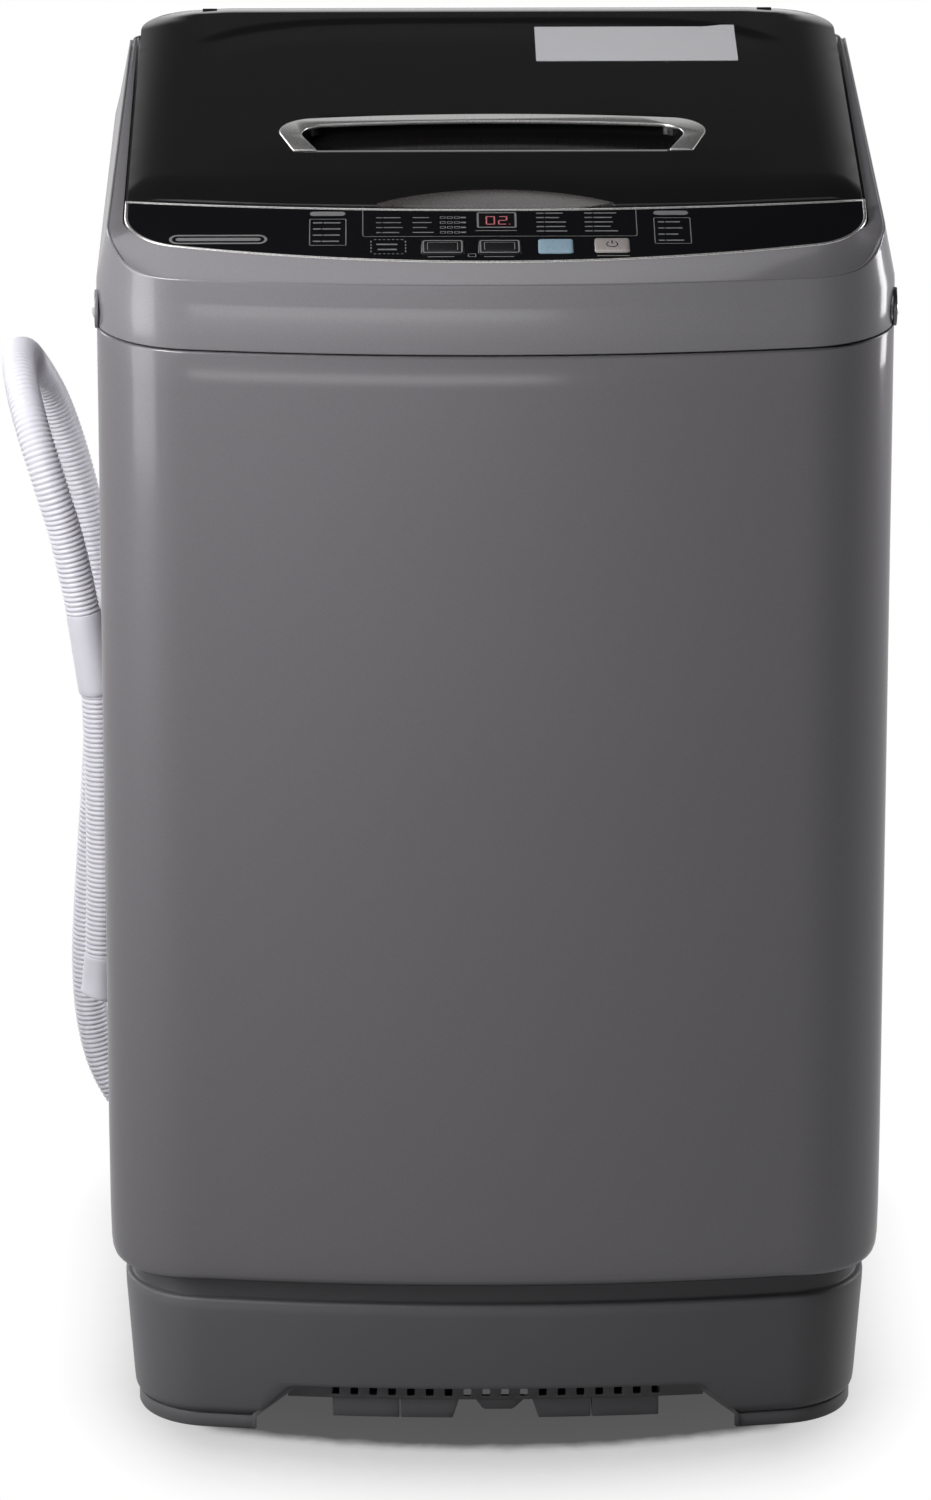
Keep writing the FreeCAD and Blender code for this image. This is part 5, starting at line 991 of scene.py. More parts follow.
class WASHER_OT_cabinet(bpy.types.Operator):
    """Painted wrap, rear cover and screws"""

    bl_idname = "washer.cabinet"
    bl_label = "Cabinet"

    def execute(self, context):
        self.wrap()
        self.rear_cover()
        self.screws()
        return {"FINISHED"}

    def wrap(self):
        """Sheet wrap with its lower flare and its rolled upper edge."""
        bottom = mm("cabinet_bottom")
        seam = mm("seam_height")
        low = [(5, 20), (3.4, 15.4), (3.2, 12), (3.3, 7.5), (4.0, 4.4), (5.6, 2.6), (9, 1.5), (16, .8),
               (34, .3)]
        rings = [ring_at(bottom + rise, inset, 3.0 if rise < 20 else 1.0) for rise, inset in low]
        for height in (*range(200, 681, 80), 740):
            rings.append(ring_at(height, 0))
        for drop, inset in ((2.2, 0), (1.1, .25), (.5, .9), (.4, 2.2), (.4, 9)):
            rings.append(ring_at(seam - drop, inset))
        item = raw_piece("cabinet_wrap", *loft(rings))
        finish_piece(item, "cabinet paint", "cabinet", 50, ["cabinet_shell"])

    def rear_cover(self):
        """Thin steel cover with a raised field and pressed ribs."""
        low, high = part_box("back_panel")
        left, right = low.x / MM, high.x / MM
        bottom, top = low.z / MM, high.z / MM
        face = mm("back_reach") + 1
        edge_x, edge_y = 64, 56
        ribs = [bottom + 150 + level * 62 for level in range(5)]

        def field(x, y):
            inside = min(x - (left + edge_x), right - edge_x - x, y - (bottom + edge_y), top - edge_y - y)
            rise = 1.9 * smooth_step(inside / 7)
            along = 1 - smooth_step((abs(x) - 105) / 9)
            for middle in ribs:
                rise -= 1.5 * (1 - smooth_step((abs(y - middle) - 5) / 7)) * along
            return face + max(rise, 0)

        loop = rounded_box((left + right) / 2, (bottom + top) / 2, right - left, top - bottom, 4)
        slope = (0, 2, 5, 8)
        rows = [bottom + edge_y + d for d in slope] + [top - edge_y - d for d in slope]
        rows += [middle + d for middle in ribs for d in range(-12, 13, 3)]
        columns = [side * v for side in (1, -1) for v in (100, 105, 108, 112, 116, 150, 147, 144, 142)]
        item = relief("rear_cover", loop, rows, columns, field, face - .9, upright)
        finish_piece(item, "zinc sheet", "cabinet", 30, ["back_panel"])

    def screws(self):
        """Pan-head screws with crossed drive slots."""
        side = 207
        rear = [(x, z) for x in (-side, 0, side) for z in (163, 707)] + [(-side, 435), (side, 435)]
        items = [self.screw((x, mm("back_reach") + 1, z), "y", 1, 5.0, 2.2) for x, z in rear]
        for sign in (-1, 1):
            x, y, z = SIDE_SCREW
            items.append(self.screw((sign * x, y, z), "x", sign, 5.4, 3.3))
        finish_piece(join(items), "plain steel", "cabinet", 40, ["case_screws"])

    def screw(self, spot, along, sign, radius, height):
        """One domed head standing on a face."""
        profile = [(radius * .96, 0), (radius, height * .2)]
        for number in range(1, 8):
            turn = math.pi / 2 * number / 8
            profile.append((radius * math.cos(turn), height * (.2 + .8 * math.sin(turn))))
        profile.append((0.3, height))
        profile = [(r, sign * d) for r, d in profile]
        head = raw_piece("screw", *lathe(profile, 28, spot, along))
        reach, wide = radius * .5, radius * .13
        deep, out = height * .55, height + 1

        def on_face(x, y, z):
            if along == "y":
                return (spot[0] + x, spot[1] + z * sign, spot[2] + y)
            return (spot[0] + z * sign, spot[1] + x, spot[2] + y)

        for a, b in ((reach, wide), (wide, reach)):
            cut(head, [prism("arm", [(-a, -b), (a, -b), (a, b), (-a, b)], deep, out, on_face)])
        return head


# ---------------------------------------------------------------- base

# from before the bowed front to behind everything that stands in the arch
BASE_FRONT = (-300, -180)


class WASHER_OT_base(bpy.types.Operator):
    """Moulded base with its ledge, arch and vents"""

    bl_idname = "washer.base"
    bl_label = "Base"

    def execute(self, context):
        self.plinth()
        self.arch_insert()
        return {"FINISHED"}

    def arch(self, margin, foot_margin, bottom):
        """Outline of the arch in the front, as x and height."""
        foot = 162.5 - foot_margin
        top, height = 139.5 - margin, mm("arch_height")
        lean = (foot - top) / (height - 13)
        right = [(foot, bottom), (foot, 12.5), (top + lean * 5, height - 5), (top + lean * 2, height - 1.8),
                 (top - 1.5, height - .3), (top - 5, height)]
        return right + [(-x, z) for x, z in reversed(right)]

    def bowed_plate(self, name, front, rear, bottom, top, half):
        """A plate that follows the bow of the front at two depths behind it."""
        rings = []
        for number in range(41):
            x = half * (number / 20 - 1)
            near, far = [mm("bow_radius") - mm("front_reach")
                         - math.sqrt((mm("bow_radius") - depth) ** 2 - x * x) for depth in (front, rear)]
            rings.append([(x, near, bottom), (x, far, bottom), (x, far, top), (x, near, top)])
        return raw_piece(name, *loft(rings, True))

    def shaped_plate(self, name, front, rear, loops, holes, width=.5):
        """Upright shapes cut from a bowed plate; each loop is x and height."""
        pieces = []
        for loop in loops:
            heights = [z for _, z in loop]
            plate = self.bowed_plate(name, front, rear, min(heights) - 3, max(heights) + 3, 180)
            cut(plate, [prism("shape", loop, *BASE_FRONT, upright)], "INTERSECT")
            pieces.append(plate)
        item = join(pieces)
        item.name = name
        for hole in holes:
            cut(item, [prism("hole", hole, *BASE_FRONT, upright)])
        soften(item, width, 2, 40)
        return finish_piece(item, "base moulding", "cabinet", 35)

    def plinth(self):
        """Hollow base with its ledge and the arch cut through its front."""
        step = mm("base_step")
        outer = [(step + 16, 19), (step + 16, 17), (step + 1.4, 15.4), (step + .4, 14.8), (step, 13.8),
                 (step - .1, 12.2), (step - .7, 10.9), (step - 2, 10.2), (90, 10.4), (75, 11.5), (58, 12.7),
                 (40, 14), (26, 15), (19.5, 15.6), (17.5, 15.9), (15, 16.9), (13.6, 18.4), (13, 20),
                 (12.4, 20), (12, 18.7), (11, 18.2), (3.5, 18.2), (2, 19), (1.5, 21)]
        inner = [(1.5, 24), (16, 24), (30, 22), (90, 19.5), (step + 15, 20)]
        rings = [ring_at(height, inset) for height, inset in outer + inner]
        rings.append(rings[0])
        item = raw_piece("base_moulding", *loft(rings))
        cut(item, [prism("arch_tool", self.arch(0, 0, -5), -290, -190, upright)])
        soften(item, 0.7, 2, 50)
        finish_piece(item, "base moulding", "cabinet", 40, ["base_plinth"])

    def arch_insert(self):
        """Recessed lip round the arch, vent strip, hanging blocks and tray."""
        lip = self.shaped_plate("arch_lip", 16.2, 19.2, [self.arch(-2, -2, 4)], [self.arch(8, 1, -8)])
        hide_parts("base_vent_grille")
        slots = [rounded_box(12.7 * (number - 8.5), 31.4, 5.2, 5.0, .6, 2) for number in range(18)]
        strip = [(-140, 26.3), (140, 26.3), (140, 39.5), (-140, 39.5)]
        self.shaped_plate("vent_strip", 21, 23.5, [strip], slots, .35)
        low, high = 12.4, 26.6
        blocks = []
        for sign in (-1, 1):
            for near, far, near_top in ((29, 64.1, 24.5), (64.9, 110, 64.9)):
                blocks.append([(sign * near, low), (sign * far, low), (sign * far, high),
                               (sign * near_top, high)])
        self.shaped_plate("hanging_blocks", 22, 46, blocks, (), .8)
        tab = [(-7, 18.6), (10.5, 18.6), (12.5, 19.5), (20, high), (-14, high), (-9, 19.5)]
        self.shaped_plate("centre_tab", 22.5, 30, [tab], (), .6)
        wing = [(-104, 12.6), (-104, 24), (104, 24), (104, 12.6), (129, 26), (136, 38), (-136, 38),
                (-129, 26)]
        self.shaped_plate("vent_backing", 48, 51, [wing], (), .3)
        back = 128 - mm("front_reach")
        right = [(120, -237), (190, -215), (236, back)]
        floor = prism("vent_tray", [(-x, y) for x, y in reversed(right)] + right, 38, 40)
        wall = prism("tray_back", [(-150, back - 40), (150, back - 40), (150, back - 37), (-150, back - 37)],
                     20, 39)
        finish_piece(join([floor, wall]), "base moulding", "cabinet", 35)


# ---------------------------------------------------------------- top frame

# heights of the frame: its rim at the front and the rear, its deck's limit and drop below the
# lid's plane, and the top of its straight wall
FRONT_LEVEL = 811.4
REAR_LEVEL = 848.6
SEAT_LIMIT = 848
SEAT_DROP = 15.2
WALL_TOP = 795
OPENING_CENTRE = 25

# the lid's pins, from its rear edge and below its plane, and the ears and lugs that hold them
PIN_BACK = 11
PIN_DROP = 9
EAR_MIDDLE = 205
EAR_RADIUS = 4.2
EAR_HOLE = 2.55
EAR_WIDTH = 10
EAR_SLACK = 1.5
LUG_MIDDLE = 193


def deck_height(y):
    """Height of the frame's top beside the panel and the lid."""
    return min(panel_height(y), lid_height(y) - 8)


def level_off(level, y):
    """Bring a height over to the flat rear of the frame."""
    return level + (REAR_LEVEL - level) * smooth_step((y - 196) / 17)


def front_share(y):
    """1 over the bowed front and its corners, 0 along the sides."""
    return 1 - smooth_step((y + 238) / 58)


def rim_half(inward, lift, groove=0.0):
    """Right half of the frame's upper outer edge, moved inwards and lifted."""
    half = []
    for x, y in plan_half(0.3 + inward):
        level = FRONT_LEVEL + (deck_height(y) - FRONT_LEVEL) * smooth_step((y + 246) / 41)
        level = level_off(level, y)
        level -= groove * (0.3 + 0.7 * smooth_step((abs(x) - 150) / 60)) * (1 - smooth_step((y + 226) / 20))
        side = 251.8 - 0.014 * (max(y, -190) + 131) - inward
        share = smooth_step((x - 150) / 90) * (1 - front_share(y))
        half.append((x * (1 + (side / (259.7 - inward) - 1) * share), y, level + lift))
    return half


def inner_half():
    """Right half of the edge that goes round the panel and the lid."""
    half = []
    for x, y in bowed_half(241.4, 241.4, 247, PANEL_BOW, PANEL_CORNER, 4):
        wide = 1.1 * smooth_step((y + 215) / 40)
        half.append((x + (wide if x > 230 else 0), y))
    return half


def toward(first, last, share, rise):
    """A point part of the way between two points, with its own share for the height."""
    return (first[0] + (last[0] - first[0]) * share, first[1] + (last[1] - first[1]) * share,
            first[2] + (last[2] - first[2]) * rise)


class WASHER_OT_top_frame(bpy.types.Operator):
    """Moulded frame round the control panel and the lid, with the opening over the drum"""

    bl_idname = "washer.top_frame"
    bl_label = "Top frame"

    def execute(self, context):
        seam = mm("seam_height")
        rings = [ring_at(seam + .3, 8), ring_at(seam + .3, 2.2), ring_at(seam + .5, .9),
                 ring_at(seam + 1.1, .2), ring_at(seam + 2.2, 0), ring_at(780, 0), ring_at(791, 0),
                 ring_at(WALL_TOP, .2)]
        wall = [(x, y, WALL_TOP) for x, y in plan_half(.2)]
        rim = rim_half(-.3, -1.4)
        for share in (.12, .3, .5, .7, .9, 1):
            rings.append(both_sides([toward(a, b, share, share) for a, b in zip(wall, rim)]))
        for inward, lift, groove in ((-.3, -.8, 0), (-.2, -.3, 0), (.05, .12, 0), (.45, .4, 0), (.9, .45, 0),
                                     (1.3, .2, .1), (1.6, -.15, .3), (2.3, -.1, 1.0), (3.4, .4, .7)):
            rings.append(both_sides(rim_half(inward, lift, groove)))
        edge = [(x, y, level_off(deck_height(y) - .2, y)) for x, y in inner_half()]
        rings.append(both_sides([toward(a, b, .06, .05) for a, b in zip(edge, rim_half(3.4, .5))]))
        rings.append(both_sides(edge))
        rings += self.deck(edge)
        item = raw_piece("top_frame_moulding", *loft(rings))
        finish_piece(item, "frame moulding", "cabinet", 38, ["top_frame"])
        self.screw_lips()
        self.hinge_ears()
        return {"FINISHED"}

    def screw_lips(self):
        """Raised almond-shaped lips round the two side screws."""
        lips = []
        angles = [math.tau * i / 40 for i in range(40)]
        almond = [(9 * math.cos(a) * abs(math.cos(a)) ** .35, 13 * math.sin(a)) for a in angles]
        y, z = SIDE_SCREW[1] - 2, SIDE_SCREW[2] + 2
        outer = [(y + a, z + b) for a, b in almond]
        inner = [(y + a * .74, z + b * .82) for a, b in almond]
        for sign in (-1, 1):
            lips.append(prism("lip", outer, sign * 258.2, sign * 260.9, sideways, holes=[inner]))
        item = join(lips)
        soften(item, 0.9, 3, 30)
        item.name = "screw_lips"
        finish_piece(item, "frame moulding", "cabinet", 50)

    def deck(self, edge):
        """From the edge down to the deck under the lid and into the round opening."""
        panel_seat = 4.4
        radius = mm("opening_radius")

        def seat(x, y):
            scoop = 9 * (1 - smooth_step(math.hypot(x / 86, (y + 171) / 34) ** 2 - .15))
            return min(lid_height(y) - SEAT_DROP - scoop, SEAT_LIMIT)

        def circle(grow, height):
            wide = radius + grow
            return [(wide * math.cos(t), OPENING_CENTRE + wide * math.sin(t), height(t)) for t in angles]

        rings = [both_sides([(x, y, z - .8) for x, y, z in edge])]
        rings.append(both_sides([(x - .3, y, panel_height(y) - panel_seat if y < -172 else seat(x, y))
                                 for x, y, z in edge]))
        shelf = []
        for x, y, z in edge:
            if y < -171:
                shelf.append((min(x, 238), -170.6 + .0002 * x * x, panel_height(-172) - panel_seat))
            else:
                shelf.append((x - 1.5, min(y, 240), seat(x, y)))
        rings.append(both_sides(shelf))
        rings.append(both_sides([(x, y + (.6 if y < -160 else 0), seat(x, y)) for x, y, z in shelf]))
        ring = rings[-1]
        angles = [math.atan2(y - OPENING_CENTRE, x) for x, y, z in ring]
        lip = circle(5, lambda t: 0)
        for share in (.25, .5, .75, .92):
            row = [toward(a, b, share, 0) for a, b in zip(ring, lip)]
            rings.append([(x, y, seat(x, y)) for x, y, z in row])
        for grow, drop in ((5, 0), (2.5, .4), (.8, 1.6), (0, 4)):
            rings.append(circle(grow, lambda t: lid_height(OPENING_CENTRE + radius * math.sin(t))
                                - SEAT_DROP - drop))
        for grow, level in ((0, 731), (.5, 730.2), (2, 730), (3, 731), (3, 760)):
            rings.append(circle(grow, lambda t: level))
        return rings

    def hinge_ears(self):
        """Two ears that carry the lid's pins."""
        ears = []
        _, back, level = on_lid(0, mm("lid_length") - PIN_BACK, -PIN_DROP)
        foot = [(back - EAR_RADIUS, level - 15), (back + 2.2, level - 15)]
        hole = arc(back, level, EAR_HOLE, 0, 360, 24)[:-1]
        for sign in (-1, 1):
            left = sign * EAR_MIDDLE - EAR_WIDTH / 2
            ears.append(prism("ear", arc(back, level, EAR_RADIUS, 0, 180, 12) + foot, left,
                              left + EAR_WIDTH, sideways, holes=[hole]))
        item = join(ears)
        soften(item, 0.5)
        finish_piece(item, "frame moulding", "cabinet", 38)
        item.name = "hinge_ears"


# ---------------------------------------------------------------- control panel

# CAD node, body, middle, width, height and finish of each key
KEYS = [("key_program", "program_key", -34.9, 20.0, 27.6, 18.5, "key black"),
        ("key_level", "level_key", 1.9, 20.0, 27.6, 18.5, "key black"),
        ("key_start", "start_key", 38.2, 21.0, 22.4, 18.5, "key blue"),
        ("key_power", "power_key", 74.6, 22.0, 22.4, 18.5, "key silver")]
DISPLAY_MIDDLE = (.5, 56.6)
WORD_GAP = .8


def panel_half(inset):
    """Right half of the control panel's outline in its own plane."""
    half = PANEL_FRONT - inset
    front = bowed_front(half, PANEL_BOW, PANEL_BOW - inset, PANEL_CORNER - inset, 40, 20)
    rear, rear_bow = 70.96 - inset, 2400 + inset
    reach = math.degrees(math.asin(half / rear_bow))
    back = arc(0, rear + rear_bow, rear_bow, -90 + reach, -90, 16)
    return chain(front, between((half, front[-1][1]), back[0], even(4)), back)


class Print:
    """Flat marks printed on a plane."""

    def __init__(self, lift):
        self.points, self.faces, self.lift = [], [], lift

    def outline(self, x, y, width, height, radius, line):
        """A rounded frame about a middle point."""
        outer = rounded_box(x, y, width, height, radius)
        inner = rounded_box(x, y, width - line * 2, height - line * 2, max(radius - line, .05))
        self.band(outer, inner)

    def band(self, outer, inner, closed=True):
        """The strip between two lines of equally many points."""
        start, count = len(self.points), len(outer)
        self.points += [(x, y, self.lift) for x, y in outer + inner]
        for i in range(count if closed else count - 1):
            j = (i + 1) % count
            self.faces.append((start + i, start + j, start + count + j, start + count + i))

    def bar(self, left, bottom, right, top):
        """A filled rectangle."""
        self.fill([(left, bottom), (right, bottom), (right, top), (left, top)])

    def fill(self, loop):
        """A filled outline."""
        start = len(self.points)
        self.points += [(x, y, self.lift) for x, y in loop]
        self.faces.append(tuple(range(start, start + len(loop))))

    def words(self, left, y, lengths, height):
        """A line of short plain dashes in place of words."""
        for width in lengths:
            self.bar(left, y - height / 2, left + width, y + height / 2)
            left += width + WORD_GAP

    def column(self, left, top, pitch, rows, height=1.1):
        """Lines of dashes, one below the other."""
        for row, lengths in enumerate(rows):
            self.words(left, top - row * pitch, lengths, height)

    def piece(self, name, finish, body):
        """All the marks so far as one piece on the control panel."""
        finish_piece(raw_piece(name, self.points, self.faces, on_panel), finish, body)


class WASHER_OT_control_panel(bpy.types.Operator):
    """Glossy panel with its bright edge, printed marks and display"""

    bl_idname = "washer.control_panel"
    bl_label = "Control panel"

    def execute(self, context):
        holes = [rounded_box(x, y, width + .7, height + .7, 2.3) for _, _, x, y, width, height, _ in KEYS]
        holes.append(rounded_box(*DISPLAY_MIDDLE, 23.6, 18.6, 1.0))
        plate = prism("panel_plate", both_sides(panel_half(2.0)), -2.5, 0, on_panel, holes)
        finish_piece(plate, "panel gloss", "cabinet", 30, ["panel_fascia"])
        rings = []
        for inset, level in ((0, -3.5), (0, .1), (.25, .45), (.8, .6), (1.4, .55), (1.9, .3), (2.05, 0),
                             (2.05, -3.5)):
            rings.append([(x, y, level) for x, y in both_sides(panel_half(inset))])
        rings.append(rings[0])
        trim = raw_piece("panel_edge_trim", *loft(rings), on_panel)
        finish_piece(trim, "satin silver", "cabinet", 50, ["panel_trim"])
        self.display()
        self.marks()
        return {"FINISHED"}

    def display(self):
        """Smoked window with two digits and a point."""
        window = prism("display_glass", rounded_box(*DISPLAY_MIDDLE, 23.2, 18.2, .9), -2.2, -.35, on_panel)
        finish_piece(window, "smoked window", "cabinet", 30, ["display_window"])
        digits = Print(-.3)
        self.number(digits, -6.6, 51.2, 6.0, 11.0, "abcdef")
        self.number(digits, 1.4, 51.2, 6.0, 11.0, "abdeg")
        digits.bar(8.4, 51.2, 9.2, 52.1)
        digits.piece("display_digits", "display digits", "cabinet")

    def number(self, sheet, x, y, width, height, bars):
        """One digit from the seven bars of a plain display."""
        line, gap, mid = .85, .2, height / 2
        places = {"a": (line, height - line, width - line, height), "d": (line, 0, width - line, line),
                  "g": (line, mid - line / 2, width - line, mid + line / 2),
                  "b": (width - line, mid + gap, width, height - gap),
                  "c": (width - line, gap, width, mid - gap),
                  "f": (0, mid + gap, line, height - gap), "e": (0, gap, line, mid - gap)}
        for bar in bars:
            a, b, c, d = places[bar]
            sheet.bar(x + a, y + b, x + c, y + d)

    def marks(self):
        """Frames, plain pills and dashes; the dashes stand in for words and spell nothing."""
        sheet = Print(.05)
        sheet.outline(2.4, 55.3, 178, 41.5, 2.0, .55)
        sheet.outline(-109, 40.8, 24, 35.5, 1.0, .6)
        sheet.outline(114.2, 41.8, 24, 35.0, 1.0, .6)
        sheet.fill(rounded_box(-109.2, 65.6, 23, 5.6, 2.7))
        sheet.fill(rounded_box(113.7, 65.6, 22.6, 5.6, 2.7))
        sheet.outline(*DISPLAY_MIDDLE, 25.8, 20.8, 1.6, 1.3)
        sheet.column(-77.7, 60, 6.6, ((4, 11), (3.4, 12), (4, 12.4), (3.2, 11)))
        sheet.column(-54.0, 60, 6.6, ((10.6,), (12.2,), (9.2,), (13.6,)))
        for row in range(4):
            for x in (-34.5, -29.9, -25.3):
                sheet.outline(x, 60 - row * 6.6, 3.7, 3.0, .6, .55)
            sheet.fill(rounded_box(-21.2, 60 - row * 6.6, 3.6, 1.9, .6))
        sheet.column(26.2, 65.6, 6.0, ((5, 11.5), (5, 9), (5, 13.5), (5, 13), (5, 14)), 1.4)
        sheet.column(57.6, 65.6, 6.0, ((5, 15), (5, 12), (5, 12.5), (5, 11), (5, 15.5)), 1.4)
        sheet.column(-118.6, 53.4, 8.2, ((6, 11), (5, 12), (6, 10.5), (5, 11)), 1.5)
        sheet.column(105.0, 53.4, 8.2, ((4, 9.5), (4, 11), (4, 8), (4, 11.5)), 1.5)
        for number in range(7):
            for y in (30.4, 11.5):
                sheet.bar(-79.2 + number * 2.9, y, -77.6 + number * 2.9, y + .7)
        for number in range(4):
            for x in (-81.4, -59.1):
                sheet.bar(x, 13.8 + number * 4.3, x + .7, 16.2 + number * 4.3)
        sheet.words(-77.6, 24.4, (13.6,), 1.7)
        sheet.words(-76.8, 17.6, (12.4,), 1.7)
        sheet.outline(-16.0, 9.6, 5.4, 4.4, .8, .6)
        for left, y, width, height in ((-44.5, 7.8, 17, .9), (-8.0, 7.8, 19, .9), (64.6, 8.6, 21, 1.0),
                                       (-13.6, 42.4, 27, .8)):
            sheet.words(left, y, (width,), height)
        sheet.piece("panel_marks", "panel print", "cabinet")
        plate = Print(.05)
        x, y = -179.8, 31.6
        plate.band(rounded_box(x, y, 63.4, 12.2, 5.9, 8), rounded_box(x, y, 59.8, 8.6, 4.2, 8))
        plate.fill(rounded_box(x, y, 55.0, 4.2, 2.0, 6))
        plate.piece("panel_badge_outline", "panel print", "cabinet")


class WASHER_OT_keys(bpy.types.Operator):
    """Four keys, each tied to its own body"""

    bl_idname = "washer.keys"
    bl_label = "Keys"

    def execute(self, context):
        for node, body, x, y, width, height, finish in KEYS:
            rings = []
            for inset, level in ((0, -8.9), (0, .15), (.25, .45), (.8, .62), (2.4, .74), (5.5, .8)):
                loop = rounded_box(x, y, width - inset * 2, height - inset * 2, max(2.0 - inset * .4, .6))
                rings.append([(a, b, level) for a, b in loop])
            item = raw_piece(node + "_cap", *loft(rings, True), on_panel)
            finish_piece(item, finish, body, 45, [node])
            if finish == "key black":
                self.frame_mark(node, body, x, y, width, height)
            if finish == "key silver":
                self.power_mark(node, body, x, y)
        return {"FINISHED"}

    def frame_mark(self, node, body, x, y, width, height):
        """Outline of a black key, with a plain sign and a dash in it."""
        sheet = Print(.78)
        sheet.outline(x, y, width - 1.6, height - 1.6, 2.2, 1.1)
        sheet.outline(x, y + .6, width - 7.6, height - 8.0, 1.4, .5)
        sheet.words(x - 7.5, y - 3.2, (15,), .9)
        sheet.piece(node + "_mark", "panel print", body)

    def power_mark(self, node, body, x, y):
        """Open ring with a bar in its gap."""
        sheet = Print(.86)
        sheet.band(arc(x, y + .6, 3.9, 122, 418, 26), arc(x, y + .6, 3.2, 122, 418, 26), closed=False)
        sheet.bar(x - .4, y + 1.2, x + .4, y + 5.4)
        sheet.piece(node + "_mark", "key black", body)


# ---------------------------------------------------------------- lid

LID_BOW = 2400
LID_CORNER = 45
LID_THICK = 14
NOTCH_DEPTH = 27.6


def lid_half(inset):
    """Right half of the lid's outline in its own plane."""
    half, rear = mm("lid_half") - inset, LID_CORNER - inset
    front = bowed_front(half, LID_BOW, LID_BOW - inset, 5, 24, 4)
    back = mm("lid_length") - inset
    return chain(front, between((half, front[-1][1]), (half, back - rear), even(12)),
                 arc(half - rear, back - rear, rear, 0, 90, 16),
                 between((half - rear, back), (0, back), even(10)))


def lid_relief(x, y):
    """Height of the lid's upper face above its main plane."""
    far = mm("lid_length")
    # bevel along the edges and round the rear corners
    a, b = abs(x) - (mm("lid_half") - LID_CORNER), y - (far - LID_CORNER)
    edge = LID_CORNER - math.hypot(a, b) if a > 0 and b > 0 else min(mm("lid_half") - abs(x), far - y)
    level = -4.5 * min(max((20 - edge) / 20, 0), 1)
    # gentle fall from the handle to the front
    ahead = max(105 - y, 0)
    level -= ahead * 0.013 * (1 - smooth_step((abs(x) - 130) / 70))
    # raised strip at the rear, with a shallow hollow before it
    line = 375.5 - 40 * min(abs(x) / 192, 1.2) ** 5
    fade = 1 - smooth_step((abs(x) - 176) / 26)
    level += 1.0 * smooth_step((y - line) / 6.0) * fade
    hollow = smooth_step((y - (line - 46)) / 46) * (1 - smooth_step((y - line) / 5.0))
    level -= 0.15 * hollow * fade
    return level


def arch_half(half, rear, corner, foot, leg_lean):
    """Right half of an arch with a bowed back and a short leg that ends at its foot."""
    bow = 900
    side = half - corner
    drop = bow - math.sqrt(bow * bow - side * side)
    lean = math.degrees(math.asin(side / bow))
    return chain(arc(0, rear - bow, bow, 90, 90 - lean, 24),
                 arc(side, rear - drop - corner, corner, 90 - lean, -leg_lean, 12)) + [(foot, 104.5)]


def handle_arch():
    """Outer and inner outline of the handle trim's right half."""
    return arch_half(142, 177, 26, 132.5, 13), arch_half(127, 162.5, 18, 117.0, 20)


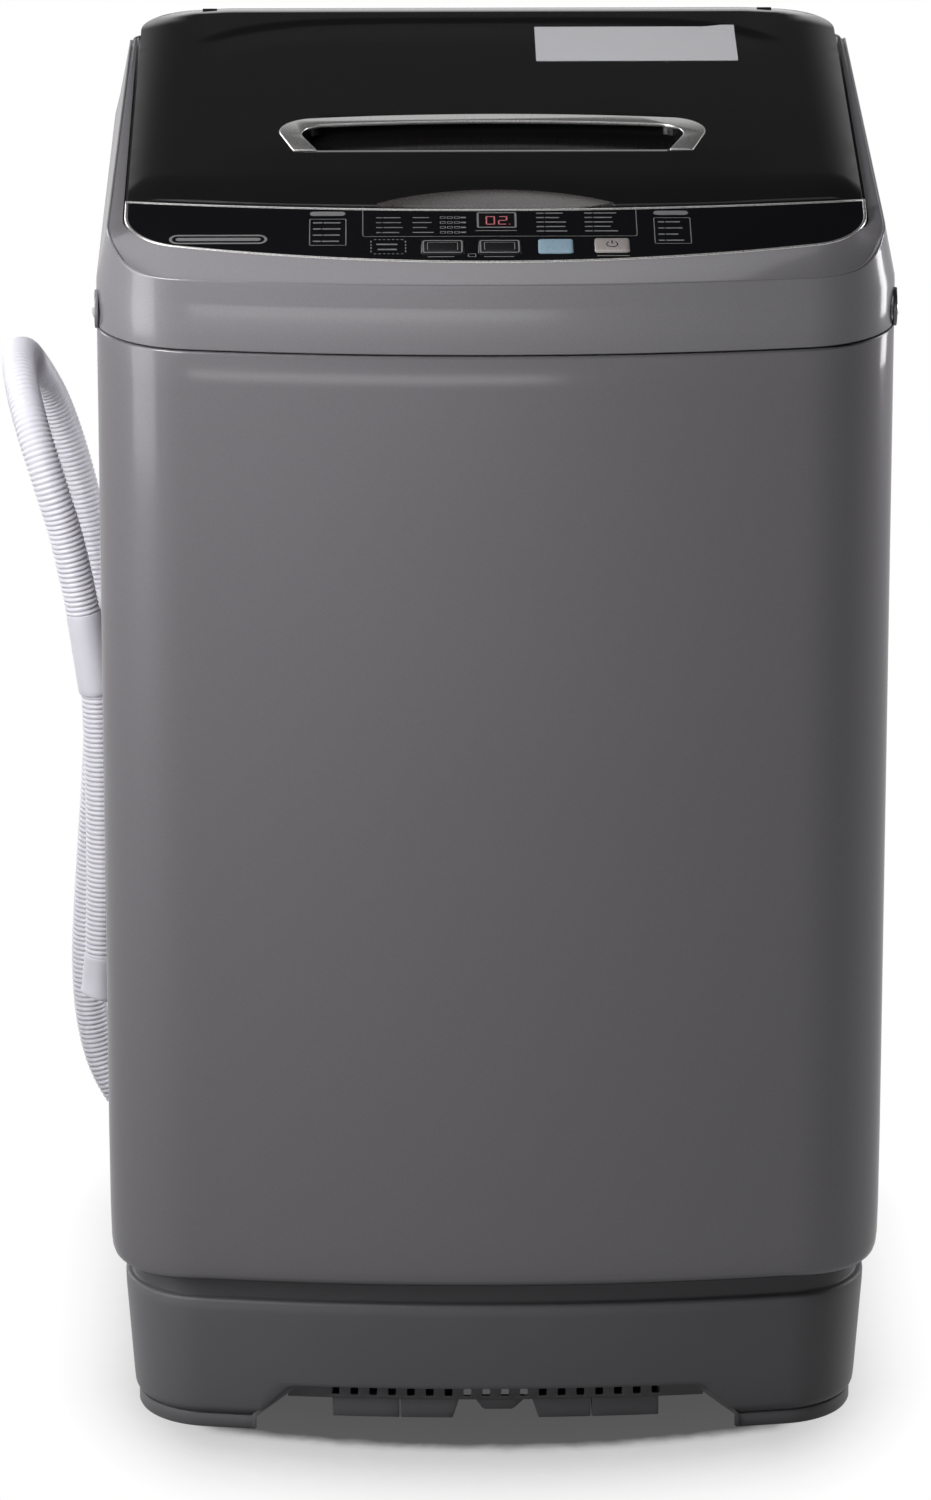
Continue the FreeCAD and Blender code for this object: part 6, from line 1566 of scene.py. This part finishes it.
class WASHER_OT_lid(bpy.types.Operator):
    """Glossy lid with its finger notch, handle pocket and silver handle trim"""

    bl_idname = "washer.lid"
    bl_label = "Lid"

    def execute(self, context):
        self.cover()
        self.trim()
        self.notch_dish()
        self.label()
        self.lugs()
        return {"FINISHED"}

    def notch_dish(self):
        """The dished slope that fills the finger notch."""
        radius = bow_through(79, NOTCH_DEPTH)
        rim = arc(0, NOTCH_DEPTH - radius, radius, 90 - 37.3, 90 + 37.3, 48)
        loop = rim + [(rim[-1][0] * (1 - i / 24), 1.2) for i in range(1, 48)]

        def dish(x, y):
            edge = NOTCH_DEPTH - radius + math.sqrt(max(radius * radius - x * x, 0))
            depth = min(max((edge - y) / NOTCH_DEPTH, 0), 1)
            return -0.5 - 9.5 * depth ** 1.35

        rows = [1.2 + 1.6 * i for i in range(17)]
        columns = [s * v for s in (1, -1) for v in (0.01, 10, 20, 30, 40, 50, 58, 65, 71, 76)]
        item = relief("lid_notch_dish", loop, rows, columns, dish, -12.2, on_lid)
        finish_piece(item, "notch gloss", "lid", 60)

    def label(self):
        """Plain pale label on the lid."""
        rows = [294 + 3 * i for i in range(23)]
        columns = [35 + 5 * i for i in range(27)]
        item = relief("lid_label", rounded_box(101, 327.5, 138, 74, 1.2), rows, columns,
                      lambda x, y: lid_relief(x, y) + .35, -3, on_lid)
        finish_piece(item, "label film", "lid", 30)

    def cover(self):
        """The lid's hollow moulding, with its notch, its pocket and the slots for the ears."""
        rows = [60, 95, 100, 105, 110, 140, 180, 240, 290, 315] + [320 + 2.5 * i for i in range(32)]
        columns = [s * v for s in (1, -1) for v in
                   (0.01, 30, 60, 90, 115, 130, 140, 150, 158, 165, 171, 176, 181, 186, 191, 196, 201, 206,
                    212, 220, 230)]
        item = relief("lid_cover_gloss", both_sides(lid_half(0)), rows, columns, lid_relief, -LID_THICK,
                      on_lid)
        radius = bow_through(78, 27)
        notch = arc(0, 27 - radius, radius, 50, 130, 64) + [(-120, -30), (120, -30)]
        cut(item, [prism("hollow", both_sides(lid_half(2.5)), -LID_THICK - 1, -11.9, on_lid)])
        cut(item, [self.pocket()])
        cut(item, [prism("notch", notch, -20, 20, on_lid)])
        far = mm("lid_length")
        reach = EAR_WIDTH / 2 + EAR_SLACK
        for middle in (-EAR_MIDDLE, EAR_MIDDLE):
            slot = [(middle - reach, far - 6), (middle + reach, far - 6), (middle + reach, far + 2),
                    (middle - reach, far + 2)]
            cut(item, [prism("ear_slot", slot, -LID_THICK - 1, -6.5, on_lid)])
        soften(item, 0.9, 3, 32)
        finish_piece(item, "lid gloss", "lid", 32, ["lid_cover"])

    def pocket(self):
        """The hollow under the handle: a ramp down from the crease and a floor below the trim."""
        inner = handle_arch()[1]
        right = [(x, y + (9 if y > 150 else 0)) for x, y in inner[:-1]] + [(116, 105)]
        loop = right + [(-x, y) for x, y in reversed(right[1:])]
        rows = [107 + 2 * i for i in range(14)]
        return relief("pocket", loop, rows, [-100, -60, 0.01, 60, 100],
                      lambda x, y: -9.5 * smooth_step((y - 103) / 26), 6, on_lid)

    def trim(self):
        """Silver arch round the rear and the sides of the pocket."""
        outer, inner = handle_arch()
        left = [(-x, y) for x, y in reversed(outer[1:])]
        left_inner = [(-x, y) for x, y in inner[1:]]
        item = prism("lid_handle_arch", left + outer + inner[::-1] + left_inner, -1.4, .9, on_lid)
        soften(item, 0.7, 3, 40)
        finish_piece(item, "satin silver", "lid", 40, ["lid_handle_trim"])

    def lugs(self):
        """Hinge lugs under the lid's rear corners."""
        items = []
        back = mm("lid_length") - PIN_BACK
        loop = arc(back, -PIN_DROP, EAR_RADIUS, 180, 360, 12)
        loop += [(back + EAR_RADIUS, -1.5), (back - EAR_RADIUS, -1.5)]
        for sign in (-1, 1):
            left = sign * LUG_MIDDLE - EAR_WIDTH / 2
            items.append(prism("lug", loop, left, left + EAR_WIDTH, lambda x, y, z: on_lid(z, x, y)))
        item = join(items)
        item.name = "lid_hinge_lugs"
        finish_piece(item, "lid gloss", "lid", 40)


# ---------------------------------------------------------------- inside

class WASHER_OT_inside(bpy.types.Operator):
    """Finishes of the tub, the drum, the drive and the small parts inside"""

    bl_idname = "washer.inside"
    bl_label = "Inside"

    def execute(self, context):
        for finish, nodes in INNER_FINISHES.items():
            for node in nodes:
                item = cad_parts[node]
                for slot in item.material_slots:
                    slot.material = FINISHES[finish]
                if not item.material_slots:
                    item.data.materials.append(FINISHES[finish])
        return {"FINISHED"}


# ---------------------------------------------------------------- sidebar and start

OPERATORS = [WASHER_OT_stage, WASHER_OT_drain_hose, WASHER_OT_cabinet, WASHER_OT_base, WASHER_OT_top_frame,
             WASHER_OT_control_panel, WASHER_OT_keys, WASHER_OT_lid, WASHER_OT_inside]


class WASHER_PT_sidebar(bpy.types.Panel):
    """Lists the machine's pieces, sizes and colours"""

    bl_idname = "WASHER_PT_sidebar"
    bl_label = "Washing Machine"
    bl_space_type = "VIEW_3D"
    bl_region_type = "UI"
    bl_category = "Washing Machine"

    def draw(self, context):
        column = self.layout.column(align=True)
        for operator in OPERATORS:
            column.operator(operator.bl_idname)
        for group in (context.scene.washing_machine_sizes, context.scene.washing_machine_colours):
            box = self.layout.box()
            for name in group.__annotations__:
                box.prop(group, name)


CLASSES = [WashingMachineSizes, WashingMachineColours, *OPERATORS, WASHER_PT_sidebar]


def register():
    for item in CLASSES:
        bpy.utils.register_class(item)
    bpy.types.Scene.washing_machine_sizes = bpy.props.PointerProperty(type=WashingMachineSizes)
    bpy.types.Scene.washing_machine_colours = bpy.props.PointerProperty(type=WashingMachineColours)


def unregister():
    del bpy.types.Scene.washing_machine_colours
    del bpy.types.Scene.washing_machine_sizes
    for item in reversed(CLASSES):
        bpy.utils.unregister_class(item)


def main():
    register()
    FINISHES.update(make_finishes())
    for operator in OPERATORS:
        group, name = operator.bl_idname.split(".")
        getattr(getattr(bpy.ops, group), name)()


if __name__ == "__main__":
    main()
